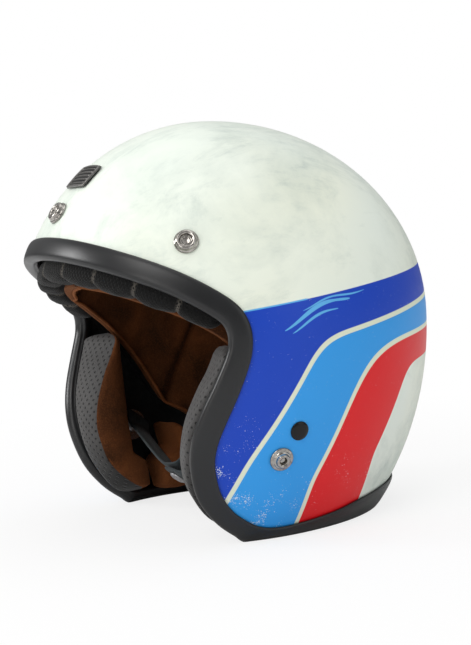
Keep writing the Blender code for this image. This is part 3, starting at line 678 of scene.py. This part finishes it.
dome = {"middle": Vector((0, domeMiddleY, 127.85)), "halfWidth": 120.8, "front": 128.5, "back": 152.6,
        "top": 133.6, "bottom": 179.7, "lean": radians(30)}
pole = Vector((0, sin(dome["lean"]), cos(dome["lean"])))
forward = Vector((0, -cos(dome["lean"]), sin(dome["lean"])))
across = Vector((1, 0, 0))


def polar(turn, down):  # degrees round the leaning pole, and down from it
    a, b = radians(turn), radians(down)
    return pole * cos(b) + (forward * cos(a) + across * sin(a)) * sin(b)


def halfAxes(d):
    length = dome["front"] if d.y < 0 else dome["back"]
    return (dome["halfWidth"], length, dome["top"] if d.z > 0 else dome["bottom"])


def normalAt(p):
    return Vector([c / s**2 for c, s in zip(p, halfAxes(p))]).normalized()


def skin(d):
    return d / sqrt(sum((c / s) ** 2 for c, s in zip(d, halfAxes(d))))


def domePoint(d, depth):
    p = skin(d)
    return p - normalAt(p) * depth + dome["middle"]


def onShell(at):  # placement on the shell: Z outwards, Y up the shell
    p = skin(Vector(at))
    out = normalAt(p)
    side = Vector((0, 0, 1)).cross(out).normalized()
    turn = Matrix((side, out.cross(side), out)).transposed().to_4x4()
    return Matrix.Translation(p + dome["middle"]) @ turn


def closedLine(halfLine, count):  # even points of a mirrored line: (direction, its third number)
    rows = [Vector(r) for r in halfLine]
    rows = [Vector((-rows[1].x, *rows[1].yz)), *rows, Vector((360 - rows[-2].x, *rows[-2].yz))]
    spots = [(polar(r.x, r.y), r.z) for r in catmull(rows, 10)[10:-10]]
    run = [0.0]
    for (a, _), (b, _) in zip(spots, spots[1:]):
        run.append(run[-1] + (skin(b) - skin(a)).length)
    found, k, steps = [], 0, count // 2
    for i in range(steps + 1):
        want = run[-1] * i / steps
        while k < len(run) - 2 and run[k + 1] < want:
            k += 1
        f = (want - run[k]) / (run[k + 1] - run[k])
        (a, restA), (b, restB) = spots[k], spots[k + 1]
        found.append((a.lerp(b, f).normalized(), restA + (restB - restA) * f))
    return found + [(Vector((-d.x, d.y, d.z)), rest) for d, rest in found[-2:0:-1]]


def awayFromPole(d):  # along the dome's surface, down from the pole
    return (d * d.dot(pole) - pole).normalized()


trim = {
    # turn, down, and how far the rubber laps the shell, from the middle of the brow to the nape
    "line": ((0, 90.2, 11), (25, 90.1, 11), (48, 90, 11), (61, 91, 11), (68, 92.6, 11), (72.5, 95.8, 11),
             (75.3, 100, 11), (77, 105, 11.5), (78.3, 114, 12.5), (79.2, 123, 13), (80.6, 129.5, 12.5),
             (84, 134.5, 12), (91, 139, 12), (99, 141, 11), (106, 141, 11), (113, 140, 11),
             (119, 137.3, 11), (126, 132, 12), (134, 125, 14), (142, 117.3, 17), (154, 109, 21),
             (167, 104, 23), (180, 102, 23)),
    "edgeLow": 2.8,
    # distance past the shell's edge, and height over the shell's face: the channel, the lip, the nose
    "section": ((0.0, 0.5), (0.6, 0.4), (0.6, -2.5), (0.5, -5.0), (-3.0, -5.1), (-6.6, -5.1), (-7.1, -5.8),
                (-6.6, -6.8), (-4.6, -7.5), (-2.4, -7.8), (-0.4, -7.6), (0.9, -6.9), (1.3, -6.1),
                (1.9, -5.4), (2.9, -4.7), (3.5, -3.0), (3.6, -1.0), (3.0, 0.9), (1.8, 2.1), (0.0, 2.6)),
    # the band that laps the shell: share of the lap, and height
    "face": ((0.25, 2.7), (0.5, 2.7), (0.76, 2.5), (0.92, 2.0), (0.99, 1.2), (1.0, 0.45), (0.55, 0.35)),
    "sides": 420,
}


def shellEdge(count):
    line = closedLine(trim["line"], count)
    edge = []
    for i, (d, lap) in enumerate(line):
        here = skin(d)
        along = skin(line[(i + 1) % count][0]) - skin(line[i - 1][0])
        out = along.cross(normalAt(here)).normalized()
        if out.dot(pole) > 0.6:
            out = -out
        if out.z < -0.5:
            lap = min(lap, (here.z + dome["middle"].z - trim["edgeLow"]) / -out.z)
        edge.append((here + out * lap, out, lap))
    return edge


def bowl(ring, outerDepth, innerAt, rows, rimBulge):  # outer face, rounded rim, inner face
    columns = len(ring)
    outerRows, rimRows, innerRows = rows

    def place(i, j):
        edge = ring[i % columns]
        if j <= outerRows:
            return domePoint(pole.slerp(edge, j / outerRows), outerDepth)
        if j <= outerRows + rimRows:
            t = (j - outerRows) / rimRows
            depth = outerDepth + (innerAt(edge) - outerDepth) * (1 - cos(pi * t)) / 2
            return domePoint(edge, depth) + awayFromPole(edge) * rimBulge * sin(pi * t)
        d = pole.slerp(edge, 1 - (j - outerRows - rimRows) / innerRows)
        return domePoint(d, innerAt(d))

    return shapedGrid(columns, sum(rows), place, (700, 400))


shell = {"columns": 300, "rows": (48, 2, 16), "wall": 3.5, "wornBand": 0.055, "wornHeight": 0.092,
         "wornFade": 0.04}


def makeShell(s):
    ring = [p.normalized() for p, _, _ in shellEdge(s["columns"])]
    made = bowl(ring, 0.0, lambda d: s["wall"], s["rows"], 0.0)
    secondLook(made, (s["rows"][0] + 1) / sum(s["rows"]), 1.0)
    made = finished(made, "shellSkin", ("paint", "foam"))
    worn = made.data.attributes.new("edgeNear", "FLOAT", "POINT")
    rim = [domePoint(d, 0) * mm for d in ring[::3]]
    for vert, value in zip(made.data.vertices, worn.data):
        if vert.co.z < s["wornHeight"]:
            near = max(0.0, 1 - min((vert.co - low).length for low in rim) / s["wornBand"])
            value.value = near * min((s["wornHeight"] - vert.co.z) / s["wornFade"], 1.0)
    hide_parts("outer_shell")


makeShell(shell)
print("shell")


def trimRing(edge, out, lap):
    shape = [*trim["section"], *((-lap * share, over) for share, over in trim["face"])]
    points = [domePoint((edge + out * past).normalized(), -over) for past, over in shape]
    low = min(p.z for p in points)
    landed = low * (1 - min(max((3.0 - low) / 1.4, 0.0), 1.0))  # where it nears the floor it is pressed flat
    for p in points:
        if low < 3.0 and p.z < 6:
            p.z = landed + (6 - landed) * (p.z - low) / (6 - low)
    return points


def makeTrim():
    rings = [trimRing(*e) for e in shellEdge(trim["sides"])]
    made = loft(trim["sides"], len(rings[0]), lambda share: rings[round(share * trim["sides"])], closed=True)
    made = finished(made, "edgeBead", "rubber")
    applyModifier(made, "SUBSURF", levels=1, render_levels=1)
    for vert in made.data.vertices:
        vert.co.z = 0.0 if vert.co.z < 0.0005 else vert.co.z
    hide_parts("edge_trim")


makeTrim()
print("edge trim")

liners = {
    "foamLine": ((0, 91.5, 0), (30, 91.5, 0), (55, 91.3, 0), (68, 92, 0), (78, 96, 0), (88, 102, 0),
                 (100, 109, 0), (111, 112, 0), (125, 110.5, 0), (150, 100, 0), (180, 91, 0)),
    "crownLine": ((0, 101, 0), (30, 101, 0), (55, 101, 0), (74, 103, 0), (88, 107, 0), (100, 112.6, 0),
                  (107, 115.3, 0), (115, 115.2, 0), (123, 114, 0), (150, 103, 0), (180, 94, 0)),
    "foamDepth": (5.0, 26.0), "crownDepth": (27.5, 33.8),
    "panelSeams": (0, 40, 108.5, 147), "capSeam": 34.0, "seamWidth": 4.5, "seamDepth": 4.4, "wrinkle": 0.9,
}


def crownSeam(d):  # 1 on a seam: the seams run down from a crown disc
    flat = d - pole * d.dot(pole)
    turn = abs(forward.angle(flat, 0.0)) * 180 / pi
    down = pole.angle(d) * 180 / pi
    gaps = [abs(down - liners["capSeam"]) * 1.75]
    if down > liners["capSeam"]:
        gaps += [radians(abs(turn - seam)) * sin(radians(down)) * 100 for seam in liners["panelSeams"]]
    return min(sum(1 / (1 + (gap / liners["seamWidth"]) ** 2) ** 1.5 for gap in gaps), 1.0)


def crownDepth(d):
    wrinkle = 0.7 * noise.noise(d * 9) + 0.3 * noise.noise(d * 23)
    return liners["crownDepth"][1] - liners["seamDepth"] * crownSeam(d) - liners["wrinkle"] * wrinkle


def storeSeams(made, seamAt):  # the materials darken or lighten along the stored seams: painted shade, and on the brow pad a painted highlight
    stored = made.data.attributes.new("seamNear", "FLOAT", "POINT")
    for vert, value in zip(made.data.vertices, stored.data):
        value.value = seamAt((vert.co / mm - dome["middle"]).normalized())


def makeLiners():
    ring = [d for d, _ in closedLine(liners["foamLine"], 180)]
    made = bowl(ring, liners["foamDepth"][0], lambda d: liners["foamDepth"][1], (14, 4, 18), 0.5)
    finished(made, "foamBowl", "foam")
    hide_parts("eps_liner")
    ring = [d for d, _ in closedLine(liners["crownLine"], 300)]
    made = bowl(ring, liners["crownDepth"][0], crownDepth, (10, 8, 92), 1.2)
    finished(made, "crownPadding", "suede")
    storeSeams(made, lambda d: crownSeam(d) ** 3)
    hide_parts("crown_liner")
    line = [domePoint(d, crownDepth(d) + 0.4) + awayFromPole(d) * 0.6 for d in ring]
    piping = tube(line, 1.1, lambda p: normalAt(p - dome["middle"]), closed=True)
    # the crown piping takes the lighter suede: painted light along its edge
    finished(piping, "crownPiping", "edgeSuede")


makeLiners()
print("liners")

brow = {"turn": 66.0, "pleats": 9, "depth": (8.7, 25.6), "down": (94.2, 101.9), "pull": 2.2,
        "sink": 3.6, "uneven": 0.2, "steps": 330, "around": 40}


def makeBrowPad(s):
    def ringAt(share):
        turn = s["turn"] * (2 * share - 1)
        puff = abs(sin(pi * s["pleats"] * share)) ** 0.42
        top, full = s["down"]
        front = full - s["pull"] * (1 - puff)
        deep = s["depth"][1] - s["sink"] * (1 - puff)
        ring = []
        for k in range(s["around"]):
            a = 2 * pi * k / s["around"]
            low, inner = signedPower(cos(a), 0.6), signedPower(sin(a), 0.6)
            uneven = s["uneven"] * noise.noise(Vector((turn / 3, k / 4, 0)))
            down = (top + front) / 2 + low * (front - top) / 2 + uneven
            depth = (s["depth"][0] + deep) / 2 + inner * (deep - s["depth"][0]) / 2
            ring.append(domePoint(polar(turn, down), depth))
        return ring

    def ridge(d):  # thin and light where two pleats meet: the line of the painted highlight
        turn = forward.angle(d - pole * d.dot(pole), 0.0) * 180 / pi * (1 if d.x > 0 else -1)
        return max(1 - abs(sin(pi * s["pleats"] * (turn / s["turn"] + 1) / 2)) * 5, 0.0)

    made = finished(loft(s["steps"], s["around"], ringAt, endLength=0.03), "browQuilt", "quilt")
    storeSeams(made, ridge)
    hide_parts("brow_pad")


makeBrowPad(brow)
print("brow pad")

cheek = {
    # (x, y from the dome's middle, z) down the piped edge, and (y, z) down the edge beside the trim
    "piped": ((70, -36, 122), (69, -43, 107), (67, -50, 95), (64, -58, 77), (62, -61, 61), (59, -60, 49),
              (57, -56, 36), (56, -48, 26), (56, -38, 18), (57, -30, 14)),
    "beside": ((-45, 121), (-49, 110), (-54, 99), (-60, 84), (-63, 70), (-63, 55), (-61, 42), (-56, 29),
               (-48, 17), (-38, 9)),
    "rear": (-24.5, -34.5), "slot": (30.0, 40.0), "wallDepth": 8.8,
    "tuck": 3.5,  # how far the front reaches behind the trim's lip
    "frontBulge": 1.8, "innerBulge": 4.5, "rows": 100,
    "faces": (14, 18, 8, 8),  # how many ring steps each face takes: front, inner, rear, outer
}
lobe = {"front": (-17.0, -2.0), "rear": 20.0, "z": (9.0, 57.0), "innerX": 64.0, "bulge": 5.0, "rows": 60}
nape = {"turn": 66.0, "steps": 220, "channels": 6, "pull": 2.2,
        "section": ((6, 8.8), (24, 8.8), (42, 8.8), (44, 19), (37, 29.5), (26, 32), (14, 29), (9, 23))}


def wallPoint(y, z, depth, side):  # under the shell, at y from the dome's middle and z above the floor
    down = z - dome["middle"].z
    back = dome["front"] if y < 0 else dome["back"]
    up = dome["top"] if down > 0 else dome["bottom"]
    x = (dome["halfWidth"] - depth) * sqrt(1 - (y / (back - depth)) ** 2 - (down / (up - depth)) ** 2)
    return Vector((side * x, y + domeMiddleY, z))


def between(value, low, high, first, second):
    f = min(max((value - low) / (high - low), 0.0), 1.0)
    return first + (second - first) * f * f * (3 - 2 * f)


def makeCheekPad(side, word, s):
    piped = catmull([Vector(p) for p in s["piped"]], 10)
    beside = catmull([Vector((0, *p)) for p in s["beside"]], 10)
    last = len(piped) - 1

    def corners(share):
        at = share * last
        i = min(int(at), last - 1)
        edge, outer = piped[i].lerp(piped[i + 1], at - i), beside[i].lerp(beside[i + 1], at - i)
        tangent = (piped[i + 1] - piped[i]).normalized()
        tangent.x *= side
        innerFront = Vector((side * edge.x, edge.y + domeMiddleY, edge.z))
        outerFront = wallPoint(outer.y - s["tuck"], outer.z, s["wallDepth"], side)
        rear = max(between(edge.z, *s["slot"], *s["rear"]), edge.y + 3)
        innerRear = Vector((innerFront.x + side * 3, rear + domeMiddleY, edge.z))
        outerRear = wallPoint(between(outer.z, *s["slot"], *s["rear"]), outer.z, s["wallDepth"], side)
        face = ((innerFront - outerFront).cross(tangent) * side).normalized()
        return outerFront, innerFront, innerRear, outerRear, face

    def ringAt(share):
        *found, face = corners(share)
        full = sin(pi * min(max(share, 0.03), 0.97)) ** 0.6
        crease = 1 - 0.5 * (1 + cos(pi * min(abs(share - 0.66) / 0.09, 1))) / 2
        pushes = (face * s["frontBulge"] * full, Vector((-side, 0, 0)) * s["innerBulge"] * full * crease,
                  Vector(), Vector())
        ring = []
        for a, b, count, push in zip(found, found[1:] + found[:1], s["faces"], pushes):
            ring += [a.lerp(b, k / count) + push * sin(pi * k / count) ** 0.8 for k in range(count)]
        return softened(ring, 2)

    around = sum(s["faces"])
    made = loft(s["rows"], around, ringAt)
    secondLook(made, s["faces"][0] / around, 1 - s["faces"][3] / around)
    finished(made, word + "CheekPad", ("leather", "suede"))
    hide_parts("cheek_pad_" + word)
    line = []
    for k in range(4, 97):
        outerFront, innerFront, _, _, face = corners(k / 100)
        line.append(innerFront + (outerFront - innerFront).normalized() * 0.4 - face * 1.6)
    piping = tube(line, 0.95, lambda p: Vector((0, -1, 0.01)))
    # the cheek piping takes the lighter suede: painted light along its edge
    finished(piping, word + "CheekPiping", "edgeSuede")


def makeLobePad(side, word, s):
    def ringAt(up):
        low, high = s["z"]
        narrow = 1 - 0.62 * up**3
        bulge = s["bulge"] * (1 - (2 * up - 1) ** 2)
        ring = []
        for k in range(40):
            f = k / 20 if k < 20 else 2 - k / 20
            z = low + (high - low) * up * (1 - 0.10 * (2 * f - 0.6) ** 2)
            front = between(z, 30, 40, *s["front"])
            y = front + (s["rear"] - front) * f * narrow
            if k < 20:
                ring.append(wallPoint(y, z - 3, 9.2, side))
            else:
                puffed = bulge + 3.5 * sin(pi * f) ** 0.7 - 1.5
                ring.append(Vector((side * (s["innerX"] - puffed), y + domeMiddleY, z)))
        return softened(ring, 3)

    # the lobe pads take the lighter suede: painted light
    made = finished(loft(s["rows"], 40, ringAt, endLength=0.1), word + "LobePad", "edgeSuede")
    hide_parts("lobe_pad_" + word)


def makeNapeRoll(s):
    section = catmull([Vector((z, depth, 0)) for z, depth in s["section"]], 5, closed=True)

    def ringAt(share):
        a = radians(s["turn"] * (2 * share - 1))
        sunk = 1 - abs(sin(pi * s["channels"] * share)) ** 0.4
        ring = []
        for p in section:
            depth = p.y - (s["pull"] * sunk if p.y > 15 else 0)
            down = p.x - dome["middle"].z
            rest = sqrt(1 - (down / (dome["bottom"] - depth)) ** 2)
            x = (dome["halfWidth"] - depth) * rest * sin(a)
            y = (dome["back"] - depth) * rest * cos(a)
            ring.append(Vector((x, y, down)) + dome["middle"])
        return ring

    made = finished(loft(s["steps"], len(section), ringAt, endLength=0.03), "napeRoll", "suede")
    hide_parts("neck_roll")


for side, word in ((1, "left"), (-1, "right")):
    makeCheekPad(side, word, cheek)
    makeLobePad(side, word, lobe)
makeNapeRoll(nape)
print("pads")

fasteners = {
    "snaps": {"left": (91.2, -63.3, 57.7), "centre": (0, -103.7, 79.0), "right": (-91.2, -63.3, 57.7)},
    "snapProfile": ((7.5, 0.3), (7.5, 0.9), (7.1, 1.6), (6.5, 1.9), (6.35, 3.2), (5.9, 3.9), (5.2, 4.3),
                    (4.3, 4.2), (3.8, 3.7), (3.5, 2.3), (2.7, 2.2), (2.3, 1.6), (0.6, 1.5)),
    "rivetProfile": ((7.5, 0.2), (7.5, 0.8), (7.1, 1.25), (5.7, 1.6), (5.4, 2.2), (4.5, 2.5), (4.3, 3.9),
                     (3.8, 4.35), (3.0, 4.3), (2.2, 3.7), (2.0, 0.8), (0.6, 0.6)),
    "plug": (113.9, -7.5, -59.0),
    "plugProfile": ((6.0, 0.1), (5.9, 0.7), (5.0, 1.25), (3.2, 1.6), (1.2, 1.75)),
    "shankInnerEnds": ((3.0, 99.2), (3.0, 97.2), (4.9, 96.9), (4.4, 95.2), (1.0, 94.9)),  # radius and x
}
badge = {"at": (0, -84.6, 100.5), "size": (27.0, 19.0), "lift": 1.5, "border": 1.1, "ribs": 5,
         "ribHeight": 0.9}


def makeFasteners(s):
    for word, at in s["snaps"].items():
        made = turnedPart(word + "BrowSnap", s["snapProfile"], onShell(at), "chrome")
        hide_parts("brow_snap_" + word)
    for side, word in ((1, "left"), (-1, "right")):
        at = wallPoint(*strapAxis, 0.0, side) - dome["middle"]
        made = turnedPart(word + "StrapRivet", s["rivetProfile"], onShell(at), "chrome")
        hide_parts("strap_rivet_" + word)
        inward = Matrix.Translation(at + dome["middle"]) @ Matrix.Rotation(side * pi / 2, 4, "Y")
        shank = [(2.9, 0.0), (3.0, -1.0), *((radius, x - abs(at.x)) for radius, x in s["shankInnerEnds"])]
        made = turnedPart(word + "RivetShank", shank, inward, "steel", soft=0.1)
        x, *rest = s["plug"]
        place = onShell((side * x, *rest))
        made = turnedPart(word + "SidePlug", s["plugProfile"], place, "plastic", soft=0.15)
        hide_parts("side_plug_" + word)


def makeBadge(s):  # a plain ribbed plate
    columns, rows = 72, 60
    spot = onShell(s["at"])
    width, height = s["size"]

    def place(i, j):
        u, v = 2 * i / columns - 1, 2 * j / rows - 1
        x = u * width / 2 * (1 - 0.05 * v * v)
        y = v * height / 2 * (1 - 0.07 * u * u)
        inside = min(width / 2 * (1 - abs(u)), height / 2 * (1 - abs(v)))
        frameUp = between(inside, 0.0, 0.5, 0.35, 1.0) * between(inside, 1.5, 2.1, s["border"], 0.0)
        rib = max(cos(pi * s["ribs"] * v * 1.25), 0) ** 0.6 * s["ribHeight"]
        rib *= between(inside, 2.6, 3.4, 0.0, 1.0)
        lift = s["lift"] - 0.9 * between(inside, 0.0, 0.4, 1.0, 0.0) + frameUp + rib
        d = (spot @ Vector((x, y, 0)) - dome["middle"]).normalized()
        return domePoint(d, -lift)

    made = finished(shapedGrid(columns, rows, place, (width, height)), "foreheadPlate", "pewter")
    sunk = made.data.attributes.new("seamNear", "FLOAT", "POINT")  # the grooves are darkened: painted shade
    for vert, value in zip(made.data.vertices, sunk.data):
        p = vert.co / mm - dome["middle"]
        value.value = between((p - skin(p)).length, s["lift"] + 0.1, s["lift"] + 0.6, 1.0, 0.0)
    applyModifier(made, "SOLIDIFY", thickness=0.0009, offset=-1)
    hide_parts("front_badge")


makeFasteners(fasteners)
makeBadge(badge)
print("fasteners")

strap = {
    "axis": Vector((0, domeMiddleY + strapAxis[0], strapAxis[1])), "lean": radians(38.5),
    "width": 20.0, "thick": 2.4, "layer": 2.9, "fold": 6.8, "sag": 27.5,
    "barX": 44.0, "ringDepth": 24.0, "ringHalf": 13.5, "wire": 1.5, "eye": 5.1,
    "capProfile": ((6.0, 0.2), (5.9, 0.5), (5.2, 1.3), (3.6, 1.9), (1.0, 2.1)),
}
dropWay = Vector((0, -sin(strap["lean"]), -cos(strap["lean"])))
broadWay = Vector((0, -cos(strap["lean"]), sin(strap["lean"])))


def hang(x):  # how far the fastened loop hangs below its axis
    return strap["sag"] - hypot(0.31 * x, 3.2)


def strapSpot(x, drop, broad=0.0):
    return strap["axis"] + across * x + dropWay * drop + broadWay * broad


def beside(x, over):  # over the loop's middle line, on its upper side
    slope = hang(x + 0.5) - hang(x - 0.5)
    return x + over * slope / hypot(1, slope), hang(x) - over / hypot(1, slope)


def halfTurn(middle, radius, steps):
    return [(middle + radius * sin(pi * i / steps), radius * cos(pi * i / steps)) for i in range(steps + 1)]


def makeWebbing(name, node, route):
    line = catmull([Vector((x, drop, 0)) for x, drop in route], 5)

    def ringAt(share):
        i = round(share * (len(line) - 1))
        way = (line[min(i + 1, len(line) - 1)] - line[max(i - 1, 0)]).normalized()
        ring = []
        for k in range(36):
            a = 2 * pi * k / 36
            broad = signedPower(cos(a), 0.45) * strap["width"] / 2
            thick = signedPower(sin(a), 0.55) * strap["thick"] / 2
            ring.append(strapSpot(line[i].x - way.y * thick, line[i].y + way.x * thick, broad))
        return ring

    made = finished(loft(len(line) - 1, 36, ringAt, endLength=0.006), name, "webbing", "chin_strap")
    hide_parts(node)


def anchorRun(sign):
    return [(sign * x, drop) for x, drop in ((97, -8.2), (92.5, -5.0), (88, -1.2), (82, 1.7))]


def makeStitches(name, xs, broads, over):  # two rows of short bright stitches along the strap
    pieces = []
    for x in xs:
        for broad in broads:
            ax, adrop = beside(x, over)
            bx, bdrop = beside(x + 2.2, over)
            lift, dropLift = beside(x + 1.1, over + 0.35)
            line = catmull([strapSpot(ax, adrop, broad), strapSpot(lift, dropLift, broad),
                            strapSpot(bx, bdrop, broad)], 3)
            pieces.append(tube(line, 0.42, lambda p: broadWay, around=6))
    deselect()
    for piece in pieces:
        piece.select_set(True)
    bpy.context.view_layer.objects.active = pieces[0]
    bpy.ops.object.join()
    made = finished(bpy.context.object, name, "thread", "chin_strap")


def makeRing(over, name, node):
    bar, half, depth = strap["barX"], strap["ringHalf"], strap["ringDepth"]
    middle = [(bar, half * f / 8) for f in range(-8, 9)]
    middle += [(bar - depth * sin(a), half * cos(a)) for a in (pi * i / 44 for i in range(1, 44))]
    slope = hang(bar + 0.5) - hang(bar - 0.5)
    along = (across + dropWay * slope).normalized()
    upper = broadWay.cross(along).normalized()
    start = strapSpot(*beside(bar, over))
    line = [start + along * (x - bar) + broadWay * b for x, b in middle]
    made = tube(line, strap["wire"], lambda p: upper, closed=True, around=14)
    made = finished(made, name, "steel", "d_rings")
    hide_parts(node)


def makeStrap(s):
    fold, layer, eye = s["fold"], s["layer"], s["eye"]
    route = anchorRun(-1) + [(x, hang(x)) for x in range(-74, 2, 9)]
    route += [beside(x, over) for x, over in ((10, 1.2), (14.5, 4.4), (18.5, 6.4), (22.5, fold))]
    route += [beside(x, over) for x, over in halfTurn(29.5, fold, 8)]
    route += [beside(x, over) for x, over in ((22, -fold), (17, -6.2), (11, -4.2), (6, -layer), (0, -layer))]
    makeWebbing("longStrap", "strap_long", route)
    route = anchorRun(1) + [(x, hang(x)) for x in (75, 68, 61)]
    route += [beside(x, over) for x, over in ((56, 1.8), (51, 4.4))]
    route += [beside(2 * s["barX"] - x, over) for x, over in halfTurn(s["barX"], eye, 8)]
    route += [beside(x, over) for x, over in ((51, -4.9), (57, -3.4), (63, -layer), (70, -layer))]
    makeWebbing("shortStrap", "strap_short", route)
    makeStitches("shortStrapStitches", [58.0 + 3.2 * k for k in range(4)], (-7.5, -2.5, 2.5, 7.5), -4.1)
    makeStitches("longStrapStitches", [-70.0 + 3.2 * k for k in range(4)], (-7.5, 7.5), -1.2)
    makeRing(1.9, "innerDRing", "d_ring_inner")
    makeRing(-1.9, "outerDRing", "d_ring_outer")
    x, drop = beside(5.0, -layer - s["thick"] / 2)
    turn = Matrix((across, dropWay.cross(across), dropWay)).transposed().to_4x4()
    place = Matrix.Translation(strapSpot(x, drop + 0.2)) @ turn
    made = turnedPart("strapEndSnap", s["capProfile"], place, "steel", "chin_strap")
    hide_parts("strap_snap")


makeStrap(strap)
for node in ("snap_washer_left", "snap_washer_centre", "snap_washer_right",
             "anchor_tab_left", "anchor_tab_right"):
    for slot in bpy.data.objects[node].material_slots:
        slot.material = looks["steel"]
print("chin strap")
